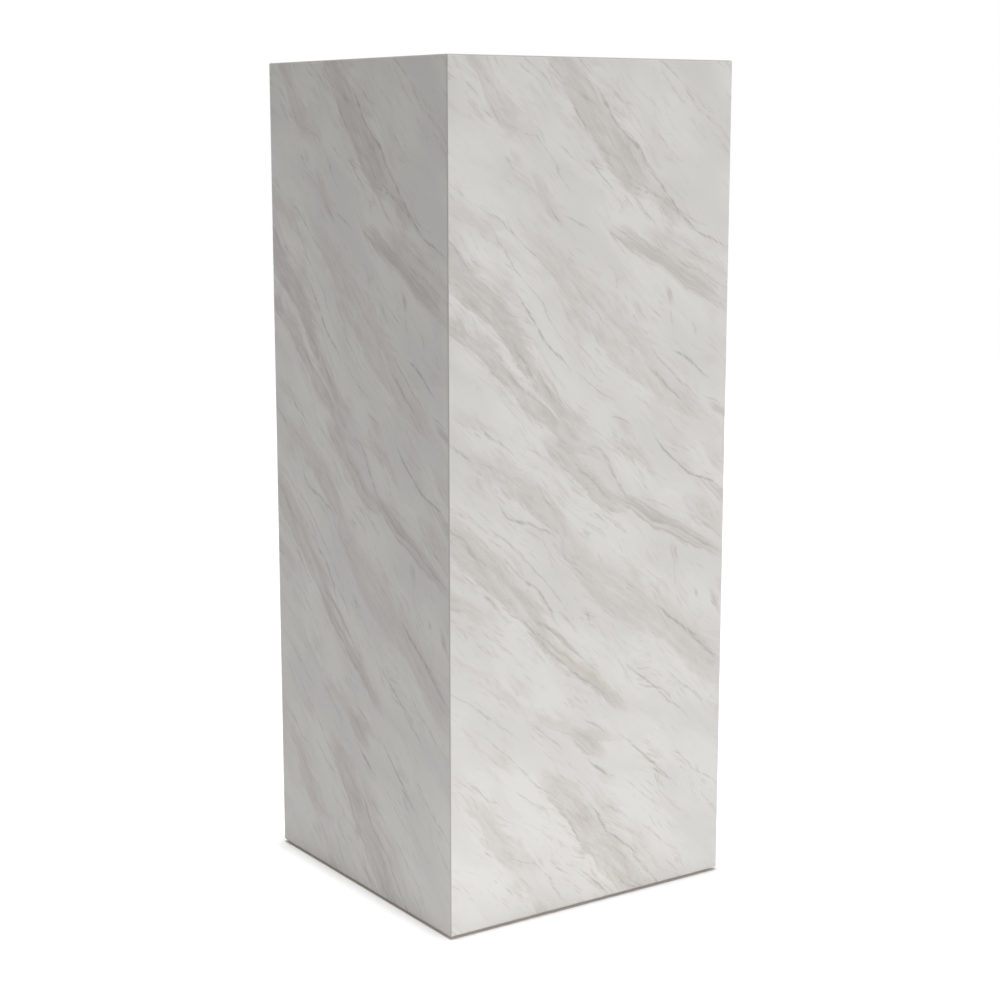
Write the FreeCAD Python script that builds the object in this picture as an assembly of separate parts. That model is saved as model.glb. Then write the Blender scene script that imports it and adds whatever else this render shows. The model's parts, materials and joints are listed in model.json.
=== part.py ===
"""A marble-effect pedestal column: a hollow box of mitred laminated board on four levelling glides.

Lengths are in millimetres. The origin lies on the floor under the column's centre, +Z points up, and
the front face looks along -Y. Each piece is a solid of its own, written to parts/NAME.step.
"""

import FreeCAD, Part

import math
import os

# ---------------------------------------------------------------- driving sizes

# The column's outside
COLUMN_WIDTH = 305.0
COLUMN_HEIGHT = 762.0
FLOOR_GAP = 3.0  # between the floor and the walls' lower edges
ARRIS = 0.8  # chamfer on the laminate's upright and upper edges

# Board and laminate
BOARD = 16.0
LAMINATE = 1.0

# Flat loose tongues (biscuits) in the mitres, in slots from a disc cutter
BISCUIT_THICKNESS = 4.0
BISCUIT_LENGTH = 47.0
BISCUIT_DEPTH = 7.5  # how far one goes into each board
BISCUIT_SLACK = 0.1  # between a biscuit and its slot, all round
SLOT_CUTTER_RADIUS = 50.0
CORNER_BISCUIT_COUNT = 4  # in each upright mitre
TOP_BISCUIT_COUNT = 2  # in each mitre of the top
BISCUIT_END_MARGIN = 60.0  # from a mitre's end to the middle of its first biscuit

# Softwood battens glued inside
BATTEN = 20.0

# Stiffening shelf half way up, on two short battens
SHELF_THICKNESS = 12.0
SHELF_SLACK = 0.5  # between the shelf's edges and what is round it
SHELF_BATTEN_GAP = 25.0  # between an upright batten and the shelf batten's end

# Base panel let in between the walls
BASE_SLACK = 0.5  # between its edges and the walls

# Countersunk chipboard screws
SCREW_RADIUS = 2.0
SCREW_HEAD_RADIUS = 4.0
SCREW_SLACK = 0.05  # between a screw and its hole
SCREW_HEAD_SINK = 0.2  # how far a head lies below the surface
SCREW_COVER = 3.8  # wood left beyond the screw's point
SCREW_MARGIN = 50.0  # from an upright batten's face to the nearest screw
DRIVE_RADIUS = 1.9  # cross recess of a screw head
DRIVE_WIDTH = 0.9
DRIVE_DEPTH = 1.6
SCREW_TIP = 4.0  # length of a screw's point

# Levelling glide: a felt sole, a moulded foot and a threaded stud that turns in it
GLIDE_INSET = 15.0  # from the battens' inner faces to a glide's axis
SOLE_RADIUS = 14.0
SOLE_THICKNESS = 1.5
SOLE_SEAT_DEPTH = 0.5  # how deep the sole lies in the foot
FOOT_RIM = 1.0  # plastic round the sole
FOOT_FLOOR = 2.2  # plastic between the sole and the stud's disc
FOOT_LIP = 1.8  # plastic over the stud's disc
FOOT_ROUNDING = 1.2
STUD_DISC_RADIUS = 8.0
STUD_DISC_THICKNESS = 2.0
STUD_DISC_SLACK = 0.25  # round the disc in its pocket, above, below and outside
STUD_NECK_RADIUS = 3.6
STUD_NECK_SLACK = 0.3
STUD_HEX_ACROSS_FLATS = 13.0
STUD_HEX_HEIGHT = 4.0
STUD_HEX_LIFT = 0.6  # between the foot and the hexagon
STUD_THREAD_RADIUS = 4.0
STUD_THREAD_LENGTH = 26.0
STUD_END_CHAMFER = 0.8
THREAD_SLACK = 0.05  # between the stud and the nut's bore

# Pronged nut driven into the base panel from below
NUT_FLANGE_RADIUS = 10.0
NUT_FLANGE_THICKNESS = 1.5
NUT_BARREL_WALL = 1.0
NUT_BARREL_HEIGHT = 11.0
NUT_HOLE_SLACK = 0.1  # between the barrel and the panel
NUT_STOP_GAP = 0.3  # between the flange and the stud's hexagon when screwed right in
PRONG_COUNT = 4
PRONG_START = 45.0  # degrees from the X axis to the first prong
PRONG_LENGTH = 7.0
PRONG_WIDTH = 2.4
PRONG_THICKNESS = 1.0
PRONG_SLACK = 0.05

# ---------------------------------------------------------------- levels and half widths

COLUMN_HALF = COLUMN_WIDTH / 2
BOARD_HALF = COLUMN_HALF - LAMINATE  # the boards' outer faces
CAVITY_HALF = BOARD_HALF - BOARD  # the boards' inner faces
BATTEN_HALF = CAVITY_HALF - BATTEN  # the battens' inner faces
BATTEN_MIDDLE = CAVITY_HALF - BATTEN / 2

BOARD_TOP = COLUMN_HEIGHT - LAMINATE
CEILING = BOARD_TOP - BOARD  # underside of the top panel

FOOT_BOTTOM = SOLE_THICKNESS - SOLE_SEAT_DEPTH
POCKET_BOTTOM = SOLE_THICKNESS + FOOT_FLOOR
DISC_BOTTOM = POCKET_BOTTOM + STUD_DISC_SLACK
DISC_TOP = DISC_BOTTOM + STUD_DISC_THICKNESS
POCKET_TOP = DISC_TOP + STUD_DISC_SLACK
FOOT_TOP = POCKET_TOP + FOOT_LIP
FOOT_RADIUS = SOLE_RADIUS + FOOT_RIM
HEX_BOTTOM = FOOT_TOP + STUD_HEX_LIFT
HEX_TOP = HEX_BOTTOM + STUD_HEX_HEIGHT

BASE_BOTTOM = HEX_TOP + NUT_STOP_GAP + NUT_FLANGE_THICKNESS
BASE_TOP = BASE_BOTTOM + BOARD
SHELF_BOTTOM = (BASE_TOP + CEILING - SHELF_THICKNESS) / 2
SHELF_TOP = SHELF_BOTTOM + SHELF_THICKNESS

SCREW_REACH = BATTEN_HALF - SCREW_MARGIN  # the screws' distance from the middle of a side
BASE_SCREW_LENGTH = BOARD + BATTEN - SCREW_HEAD_SINK - SCREW_COVER
SHELF_SCREW_LENGTH = SHELF_THICKNESS + BATTEN - SCREW_HEAD_SINK - SCREW_COVER

GLIDE_CENTRE = BATTEN_HALF - GLIDE_INSET
NUT_BORE_RADIUS = STUD_THREAD_RADIUS + THREAD_SLACK
NUT_BARREL_RADIUS = NUT_BORE_RADIUS + NUT_BARREL_WALL

UP = FreeCAD.Vector(0, 0, 1)
ORIGIN = FreeCAD.Vector(0, 0, 0)
SIDES = {"front": 0, "right": 90, "back": 180, "left": 270}  # quarter turns from the front
CORNERS = {"front_left": 0, "front_right": 90, "back_right": 180, "back_left": 270}


# ---------------------------------------------------------------- helpers


def export(name, *solids):
    """Write one piece, or a group of like pieces, to parts/NAME.step."""
    shape = solids[0] if len(solids) == 1 else Part.makeCompound(list(solids))
    shape.exportStep(os.path.join("parts", name + ".step"))


def turned(shape, degrees):
    """A copy turned about the column's upright axis."""
    copy = shape.copy()
    copy.rotate(ORIGIN, UP, degrees)
    return copy


def moved(shape, x, y, z):
    """A copy moved by x, y and z."""
    copy = shape.copy()
    copy.translate(FreeCAD.Vector(x, y, z))
    return copy


def cut_all(shape, tools):
    """The shape without the tools, as a plain solid."""
    return shape.cut(list(tools)).Solids[0]


def block(x0, x1, y0, y1, z0, z1):
    """A box between two corners."""
    return Part.makeBox(x1 - x0, y1 - y0, z1 - z0, FreeCAD.Vector(x0, y0, z0))


def rod(radius, z0, z1):
    """An upright cylinder on the Z axis."""
    return Part.makeCylinder(radius, z1 - z0, FreeCAD.Vector(0, 0, z0))


def polyhedron(faces):
    """A solid bounded by flat faces, each a loop of corner points."""
    sides = []
    for loop in faces:
        points = [FreeCAD.Vector(*point) for point in loop]
        sides.append(Part.Face(Part.makePolygon(points + points[:1])))
    return Part.Solid(Part.Shell(sides))


def between(first, last, count):
    """Evenly spaced values from first to last."""
    return [first + (last - first) * i / (count - 1) for i in range(count)]


# ---------------------------------------------------------------- mitred shell


def mitred_side(half, thickness, top):
    """The front sheet of a box: mitred at both upright edges and along its upper edge."""
    inner = half - thickness
    under = top - thickness
    outside = [
        (-half, -half, FLOOR_GAP),
        (half, -half, FLOOR_GAP),
        (half, -half, top),
        (-half, -half, top),
    ]
    inside = [
        (-inner, -inner, FLOOR_GAP),
        (inner, -inner, FLOOR_GAP),
        (inner, -inner, under),
        (-inner, -inner, under),
    ]
    return closed_between(outside, inside)


def mitred_lid(half, thickness, top):
    """The top sheet of a box: mitred along all four edges."""
    inner = half - thickness
    under = top - thickness
    outside = [(-half, -half, top), (half, -half, top), (half, half, top), (-half, half, top)]
    inside = [
        (-inner, -inner, under),
        (inner, -inner, under),
        (inner, inner, under),
        (-inner, inner, under),
    ]
    return closed_between(outside, inside)


def closed_between(outside, inside):
    """A four-sided slab between two loops of four points."""
    faces = [outside, inside[::-1]]
    for i in range(4):
        j = (i + 1) % 4
        faces.append([outside[i], inside[i], inside[j], outside[j]])
    return polyhedron(faces)


def eased_envelope():
    """The column's outer block with its upright and upper edges chamfered."""
    whole = block(-COLUMN_HALF, COLUMN_HALF, -COLUMN_HALF, COLUMN_HALF, FLOOR_GAP, COLUMN_HEIGHT)
    lower = FLOOR_GAP + ARRIS
    sharp = [edge for edge in whole.Edges if edge.BoundBox.ZMax > lower]
    return whole.makeChamfer(ARRIS, sharp)


# ---------------------------------------------------------------- biscuits


def lens(reach, half_length, thickness):
    """A flat tongue in the YZ plane: two arcs of the cutter's radius, reach deep to each side of Z."""
    offset = SLOT_CUTTER_RADIUS - reach
    across = FreeCAD.Vector(1, 0, 0)
    discs = []
    for side in (-1, 1):
        centre = FreeCAD.Vector(-thickness / 2, side * offset, 0)
        discs.append(Part.makeCylinder(SLOT_CUTTER_RADIUS, thickness, centre, across))
    trim = block(-thickness, thickness, -reach, reach, -half_length, half_length)
    return discs[0].common(discs[1]).common(trim).Solids[0]


def biscuit():
    """One biscuit about the origin, lying along Z, its thickness along X and its width along Y."""
    return lens(BISCUIT_DEPTH, BISCUIT_LENGTH / 2, BISCUIT_THICKNESS)


def biscuit_slot():
    """The room that the cutter leaves for one biscuit, a little deeper and wider than it."""
    reach = BISCUIT_DEPTH + BISCUIT_SLACK
    half_chord = math.sqrt(SLOT_CUTTER_RADIUS**2 - (SLOT_CUTTER_RADIUS - reach) ** 2)
    return lens(reach, half_chord, BISCUIT_THICKNESS + 2 * BISCUIT_SLACK)


def biscuit_inset():
    """How far a biscuit's middle lies outside the cavity, so that its slot has like wood all round."""
    mitre_length = BOARD * math.sqrt(2)
    along_mitre = (mitre_length - BISCUIT_DEPTH - BISCUIT_SLACK) / 2
    return along_mitre / math.sqrt(2)


def in_corner(shape, z):
    """A biscuit or slot in the front left upright mitre, at height z."""
    place = shape.copy()
    place.rotate(ORIGIN, UP, 45)
    middle = CAVITY_HALF + biscuit_inset()
    return moved(place, -middle, -middle, z)


def in_top_edge(shape, x):
    """A biscuit or slot in the front mitre of the top, at x."""
    place = shape.copy()
    place.rotate(ORIGIN, FreeCAD.Vector(0, 1, 0), 90)
    place.rotate(ORIGIN, FreeCAD.Vector(1, 0, 0), 45)
    return moved(place, x, -CAVITY_HALF - biscuit_inset(), CEILING + biscuit_inset())


def corner_places(shape):
    """Copies of the shape at each place of the front left upright mitre."""
    levels = between(
        FLOOR_GAP + BISCUIT_END_MARGIN, CEILING - BISCUIT_END_MARGIN, CORNER_BISCUIT_COUNT
    )
    return [in_corner(shape, z) for z in levels]


def top_places(shape):
    """Copies of the shape at each place of the top's front mitre."""
    reach = CAVITY_HALF - BISCUIT_END_MARGIN
    return [in_top_edge(shape, x) for x in between(-reach, reach, TOP_BISCUIT_COUNT)]


def all_round(shapes):
    """Copies of the shapes for all four sides or corners."""
    return [turned(shape, degrees) for degrees in SIDES.values() for shape in shapes]


# ---------------------------------------------------------------- screws


def screw(length):
    """A countersunk screw about the Z axis, its head's face at z = 0 and its point up."""
    head_height = SCREW_HEAD_RADIUS - SCREW_RADIUS
    head = Part.makeCone(SCREW_HEAD_RADIUS, SCREW_RADIUS, head_height)
    shank_end = length - SCREW_TIP
    shank = rod(SCREW_RADIUS, head_height, shank_end)
    point = Part.makeCone(SCREW_RADIUS, 0.0, SCREW_TIP, FreeCAD.Vector(0, 0, shank_end))
    solid = head.fuse([shank, point]).removeSplitter()
    slot = block(-DRIVE_RADIUS, DRIVE_RADIUS, -DRIVE_WIDTH / 2, DRIVE_WIDTH / 2, 0, DRIVE_DEPTH)
    return cut_all(solid, [slot, turned(slot, 90)])


def screw_hole(length):
    """The countersunk hole for such a screw, open below z = 0."""
    head_radius = SCREW_HEAD_RADIUS + SCREW_SLACK
    radius = SCREW_RADIUS + SCREW_SLACK
    mouth = rod(head_radius, -SCREW_HEAD_SINK, 0)
    head = Part.makeCone(head_radius, radius, head_radius - radius)
    shank = rod(radius, 0, length + SCREW_SLACK)
    return mouth.fuse([head, shank]).Solids[0]


def base_screw_places(shape):
    """Copies of the shape at the base panel's eight screws, driven up from below."""
    level = BASE_BOTTOM + SCREW_HEAD_SINK
    pair = [moved(shape, x, -BATTEN_MIDDLE, level) for x in (-SCREW_REACH, SCREW_REACH)]
    return all_round(pair)


def shelf_screw_places(shape):
    """Copies of the shape at the shelf's four screws, driven down from above."""
    down = shape.copy()
    down.rotate(ORIGIN, FreeCAD.Vector(1, 0, 0), 180)
    level = SHELF_TOP - SCREW_HEAD_SINK
    pair = [moved(down, BATTEN_MIDDLE, y, level) for y in (-SCREW_REACH, SCREW_REACH)]
    return pair + [turned(shape, 180) for shape in pair]


# ---------------------------------------------------------------- levelling glides


def at_corner(shape, degrees):
    """A copy at one of the four glide places."""
    return turned(moved(shape, -GLIDE_CENTRE, -GLIDE_CENTRE, 0), degrees)


def sole():
    """Felt disc that meets the floor."""
    return rod(SOLE_RADIUS, 0, SOLE_THICKNESS)


def foot():
    """Moulded foot: a seat for the sole below and a pocket for the stud's disc inside."""
    body = rod(FOOT_RADIUS, FOOT_BOTTOM, FOOT_TOP)
    upper_edges = [edge for edge in body.Edges if edge.BoundBox.ZMin > FOOT_TOP - FOOT_ROUNDING]
    body = body.makeFillet(FOOT_ROUNDING, upper_edges)
    seat = rod(SOLE_RADIUS, FOOT_BOTTOM, SOLE_THICKNESS)
    pocket = rod(STUD_DISC_RADIUS + STUD_DISC_SLACK, POCKET_BOTTOM, POCKET_TOP)
    throat = rod(STUD_NECK_RADIUS + STUD_NECK_SLACK, POCKET_TOP, FOOT_TOP)
    return cut_all(body, [seat, pocket, throat])


def stud():
    """Steel stud: a disc that turns in the foot, a neck, a hexagon for the spanner and the thread."""
    disc = rod(STUD_DISC_RADIUS, DISC_BOTTOM, DISC_TOP)
    neck = rod(STUD_NECK_RADIUS, DISC_TOP, HEX_BOTTOM)
    corner_radius = STUD_HEX_ACROSS_FLATS / math.sqrt(3)
    loop = [
        FreeCAD.Vector(
            corner_radius * math.cos(math.pi / 3 * i),
            corner_radius * math.sin(math.pi / 3 * i),
            HEX_BOTTOM,
        )
        for i in range(6)
    ]
    hexagon = Part.Face(Part.makePolygon(loop + loop[:1])).extrude(UP * STUD_HEX_HEIGHT)
    thread_top = HEX_TOP + STUD_THREAD_LENGTH
    thread = rod(STUD_THREAD_RADIUS, HEX_TOP, thread_top - STUD_END_CHAMFER)
    end = Part.makeCone(
        STUD_THREAD_RADIUS,
        STUD_THREAD_RADIUS - STUD_END_CHAMFER,
        STUD_END_CHAMFER,
        FreeCAD.Vector(0, 0, thread_top - STUD_END_CHAMFER),
    )
    return disc.fuse([neck, hexagon, thread, end]).removeSplitter().Solids[0]


def prong(slack):
    """One prong of the nut: a strip that narrows to its point, grown by slack on every side."""
    half_width = PRONG_WIDTH / 2 + slack
    inner = NUT_FLANGE_RADIUS - PRONG_THICKNESS - slack
    outer = NUT_FLANGE_RADIUS + slack
    top = BASE_BOTTOM + PRONG_LENGTH + slack
    loop = [
        FreeCAD.Vector(inner, -half_width, BASE_BOTTOM),
        FreeCAD.Vector(inner, half_width, BASE_BOTTOM),
        FreeCAD.Vector(inner, 0, top),
    ]
    strip = Part.Face(Part.makePolygon(loop + loop[:1]))
    return strip.extrude(FreeCAD.Vector(outer - inner, 0, 0))


def prongs(slack):
    """All the prongs of one nut."""
    step = 360 / PRONG_COUNT
    return [turned(prong(slack), PRONG_START + step * i) for i in range(PRONG_COUNT)]


def nut():
    """Pronged nut on the Z axis, its flange under the base panel."""
    flange = rod(NUT_FLANGE_RADIUS, BASE_BOTTOM - NUT_FLANGE_THICKNESS, BASE_BOTTOM)
    barrel = rod(NUT_BARREL_RADIUS, BASE_BOTTOM, BASE_BOTTOM + NUT_BARREL_HEIGHT)
    rim = rod(NUT_FLANGE_RADIUS, BASE_BOTTOM, BASE_BOTTOM + PRONG_LENGTH)
    spikes = [spike.common(rim) for spike in prongs(0)]
    bore = rod(
        NUT_BORE_RADIUS, BASE_BOTTOM - NUT_FLANGE_THICKNESS, BASE_BOTTOM + NUT_BARREL_HEIGHT
    )
    return cut_all(flange.fuse([barrel] + spikes), [bore])


def nut_room():
    """What one nut takes out of the base panel."""
    hole = rod(NUT_BARREL_RADIUS + NUT_HOLE_SLACK, BASE_BOTTOM, BASE_TOP)
    return [hole] + prongs(PRONG_SLACK)


# ---------------------------------------------------------------- inner battens and panels


def upright_batten():
    """Square batten in the front left corner, from the base panel to the top panel."""
    return block(-CAVITY_HALF, -BATTEN_HALF, -CAVITY_HALF, -BATTEN_HALF, BASE_TOP, CEILING)


def base_batten():
    """Batten along the foot of the front wall, that the base panel is screwed to."""
    bar = block(
        -BATTEN_HALF, BATTEN_HALF, -CAVITY_HALF, -BATTEN_HALF, BASE_TOP, BASE_TOP + BATTEN
    )
    return cut_all(bar, base_screw_places(screw_hole(BASE_SCREW_LENGTH)))


def top_batten():
    """Batten in the corner between the front wall and the top panel."""
    return block(-BATTEN_HALF, BATTEN_HALF, -CAVITY_HALF, -BATTEN_HALF, CEILING - BATTEN, CEILING)


def shelf_batten():
    """Short batten on the right wall, under the shelf."""
    reach = BATTEN_HALF - SHELF_BATTEN_GAP
    bar = block(BATTEN_HALF, CAVITY_HALF, -reach, reach, SHELF_BOTTOM - BATTEN, SHELF_BOTTOM)
    return cut_all(bar, shelf_screw_places(screw_hole(SHELF_SCREW_LENGTH)))


def shelf():
    """Stiffening shelf, notched round the upright battens."""
    half = CAVITY_HALF - SHELF_SLACK
    notch = BATTEN_HALF - SHELF_SLACK
    plate = block(-half, half, -half, half, SHELF_BOTTOM, SHELF_TOP)
    corner = block(-half, -notch, -half, -notch, SHELF_BOTTOM, SHELF_TOP)
    corners = [turned(corner, degrees) for degrees in CORNERS.values()]
    return cut_all(plate, corners + shelf_screw_places(screw_hole(SHELF_SCREW_LENGTH)))


def base_panel():
    """Board let in between the walls, bored for the screws and the nuts."""
    half = CAVITY_HALF - BASE_SLACK
    plate = block(-half, half, -half, half, BASE_BOTTOM, BASE_TOP)
    nuts = [at_corner(room, degrees) for degrees in CORNERS.values() for room in nut_room()]
    return cut_all(plate, nuts + base_screw_places(screw_hole(BASE_SCREW_LENGTH)))


# ---------------------------------------------------------------- the whole column


def write_shell():
    """Boards and laminates of the four walls and the top, and the biscuits in their mitres."""
    envelope = eased_envelope()
    upright_slots = corner_places(biscuit_slot())
    top_slots = top_places(biscuit_slot())
    slots = upright_slots + [turned(slot, 90) for slot in upright_slots] + top_slots
    wall = cut_all(mitred_side(BOARD_HALF, BOARD, BOARD_TOP), slots)
    skin = mitred_side(COLUMN_HALF, LAMINATE, COLUMN_HEIGHT).common(envelope).Solids[0]
    for side, degrees in SIDES.items():
        export(side + "_wall_board", turned(wall, degrees))
        export(side + "_marble_laminate", turned(skin, degrees))
    export("top_board", cut_all(mitred_lid(BOARD_HALF, BOARD, BOARD_TOP), all_round(top_slots)))
    top_skin = mitred_lid(COLUMN_HALF, LAMINATE, COLUMN_HEIGHT).common(envelope).Solids[0]
    export("top_marble_laminate", top_skin)
    export("upright_mitre_biscuits", *all_round(corner_places(biscuit())))
    export("top_mitre_biscuits", *all_round(top_places(biscuit())))


def write_inside():
    """Battens, shelf, base panel, screws and nuts."""
    for corner, degrees in CORNERS.items():
        export(corner + "_upright_batten", turned(upright_batten(), degrees))
    for side, degrees in SIDES.items():
        export(side + "_base_batten", turned(base_batten(), degrees))
        export(side + "_top_batten", turned(top_batten(), degrees))
    export("right_shelf_batten", shelf_batten())
    export("left_shelf_batten", turned(shelf_batten(), 180))
    export("stiffening_shelf", shelf())
    export("base_panel", base_panel())
    export("base_screws", *base_screw_places(screw(BASE_SCREW_LENGTH)))
    export("shelf_screws", *shelf_screw_places(screw(SHELF_SCREW_LENGTH)))
    export("pronged_nuts", *[at_corner(nut(), degrees) for degrees in CORNERS.values()])


def write_glides():
    """The four levelling glides, each as a sole, a foot and a stud."""
    for corner, degrees in CORNERS.items():
        export(corner + "_glide_sole", at_corner(sole(), degrees))
        export(corner + "_glide_foot", at_corner(foot(), degrees))
        export(corner + "_glide_stud", at_corner(stud(), degrees))


os.makedirs("parts", exist_ok=True)
write_shell()
write_inside()
write_glides()
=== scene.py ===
"""Dresses the pedestal column: its printed marble faces, the boards and fixings, and the studio."""

import json
import logging
import math
from dataclasses import dataclass, field
from enum import Enum
from functools import partial, reduce
from typing import Any, Dict, List, Mapping, Optional, Sequence, Tuple, Union

import bmesh
import bpy
from bpy.types import Material, Mesh, Node, NodeSocket, NodeTree
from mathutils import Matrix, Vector

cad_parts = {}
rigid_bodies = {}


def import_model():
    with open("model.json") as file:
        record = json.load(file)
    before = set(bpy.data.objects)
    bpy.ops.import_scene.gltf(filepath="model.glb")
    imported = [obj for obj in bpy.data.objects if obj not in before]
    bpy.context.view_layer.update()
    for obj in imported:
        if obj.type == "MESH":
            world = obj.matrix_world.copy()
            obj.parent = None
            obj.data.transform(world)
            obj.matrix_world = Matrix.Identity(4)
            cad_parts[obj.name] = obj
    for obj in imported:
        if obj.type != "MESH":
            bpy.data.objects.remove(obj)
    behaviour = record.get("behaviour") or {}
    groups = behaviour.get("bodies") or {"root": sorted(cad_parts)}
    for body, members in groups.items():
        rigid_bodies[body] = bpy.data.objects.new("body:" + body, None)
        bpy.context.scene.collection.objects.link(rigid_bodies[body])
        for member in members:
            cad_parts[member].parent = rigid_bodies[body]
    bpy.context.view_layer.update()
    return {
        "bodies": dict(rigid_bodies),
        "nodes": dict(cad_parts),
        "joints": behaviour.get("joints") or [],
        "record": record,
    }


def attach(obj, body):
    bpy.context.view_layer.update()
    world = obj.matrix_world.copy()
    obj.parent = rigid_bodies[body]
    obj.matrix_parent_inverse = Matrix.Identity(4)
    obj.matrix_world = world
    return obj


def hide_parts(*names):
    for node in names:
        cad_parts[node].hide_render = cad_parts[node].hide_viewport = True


log = logging.getLogger("pedestal_column")

MM = 0.001  # metres in a millimetre

Colour = Tuple[float, float, float, float]
Frame = Dict[str, Any]
Pair = Tuple[float, float]
Place = Tuple[float, float, float]
Point = Tuple[float, ...]
Settings = Mapping[str, Any]
Sockets = Mapping[Union[int, str], Any]
Value = Union[float, "Wire"]

WHITE: Colour = (1.0, 1.0, 1.0, 1.0)
UNSTRETCHED: Place = (1.0, 1.0, 1.0)


# ---------------------------------------------------------------- names


class Labelled(Enum):
    """Named options, each with its name first among its values."""

    @property
    def label(self) -> str:
        """The option's name."""
        return self.value[0]


class Side(Labelled):
    """The four upright sides, each with the axis across it and which way that runs to the right."""

    FRONT = ("front", "X", 1)
    RIGHT = ("right", "Y", 1)
    BACK = ("back", "X", -1)
    LEFT = ("left", "Y", -1)

    @property
    def axis(self) -> str:
        """The axis that runs across the side."""
        return self.value[1]

    @property
    def sign(self) -> int:
        """1 where that axis runs to the right, -1 where it runs to the left."""
        return self.value[2]


class Corner(Labelled):
    """The four corners, each with the signs of its x and y."""

    FRONT_LEFT = ("front_left", -1, -1)
    FRONT_RIGHT = ("front_right", 1, -1)
    BACK_RIGHT = ("back_right", 1, 1)
    BACK_LEFT = ("back_left", -1, 1)

    @property
    def place(self) -> Tuple[int, int]:
        """The signs of the corner's x and y."""
        return self.value[1], self.value[2]


class Slot(Enum):
    """The record's material slots, which the finishes are named after."""

    MARBLE = "marble_laminate"
    FIBREBOARD = "fibreboard"
    SOFTWOOD = "softwood"
    BEECH = "beech"
    PLYWOOD = "plywood"
    YELLOW_ZINC = "yellow_zinc_steel"
    BRIGHT_ZINC = "bright_zinc_steel"
    PLASTIC = "black_plastic"
    FELT = "felt"


# ---------------------------------------------------------------- writing node trees


class Wire:
    """One output socket with a single value, which takes part in ordinary arithmetic."""

    def __init__(self, bench: "Bench", socket: NodeSocket) -> None:
        """Keeps the socket.

        Args:
            bench: The tree that the socket is in.
            socket: The output socket.
        """
        self.bench = bench
        self.socket = socket

    def _maths(self, operation: str, *values: Value) -> "Wire":
        """Adds a Math node.

        Args:
            operation: The Math node's operation.
            values: What its sockets hold, in order.

        Returns:
            The node's result.
        """
        node = self.bench.add("ShaderNodeMath", {"operation": operation}, dict(enumerate(values)))
        return Wire(self.bench, node.outputs[0])

    def __add__(self, other: Value) -> "Wire":
        """self + other."""
        return self._maths("ADD", self, other)

    __radd__ = __add__

    def __mul__(self, other: Value) -> "Wire":
        """self * other."""
        return self._maths("MULTIPLY", self, other)

    __rmul__ = __mul__

    def __sub__(self, other: Value) -> "Wire":
        """self - other."""
        return self._maths("SUBTRACT", self, other)

    def __rsub__(self, other: Value) -> "Wire":
        """other - self."""
        return self._maths("SUBTRACT", other, self)

    def __truediv__(self, other: Value) -> "Wire":
        """self / other."""
        return self._maths("DIVIDE", self, other)

    def __rtruediv__(self, other: Value) -> "Wire":
        """other / self."""
        return self._maths("DIVIDE", other, self)

    def __pow__(self, power: float) -> "Wire":
        """self ** power."""
        return self._maths("POWER", self, power)

    def __abs__(self) -> "Wire":
        """The value without its sign."""
        return self._maths("ABSOLUTE", self)

    def largest(self, other: Value) -> "Wire":
        """The larger of the two."""
        return self._maths("MAXIMUM", self, other)

    def smallest(self, other: Value) -> "Wire":
        """The smaller of the two."""
        return self._maths("MINIMUM", self, other)

    def fraction(self) -> "Wire":
        """What is left past the last whole number."""
        return self._maths("FRACT", self)

    def bearing(self, run: "Wire") -> "Wire":
        """The angle in radians of a point this far up and `run` along."""
        return self._maths("ARCTAN2", self, run)

    def ramp(
        self,
        start: float,
        end: float,
        low: Value = 0.0,
        high: Value = 1.0,
        smooth: bool = True,
    ) -> "Wire":
        """Goes from low to high while the value goes from start to end, and stays there.

        Args:
            start: Where low ends.
            end: Where high begins.
            low: The result before start.
            high: The result after end.
            smooth: Whether it eases in and out.

        Returns:
            The result.
        """
        settings = {"interpolation_type": "SMOOTHSTEP" if smooth else "LINEAR", "clamp": True}
        sockets = {0: self, 1: start, 2: end, 3: low, 4: high}
        node = self.bench.add("ShaderNodeMapRange", settings, sockets)
        return Wire(self.bench, node.outputs[0])


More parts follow.
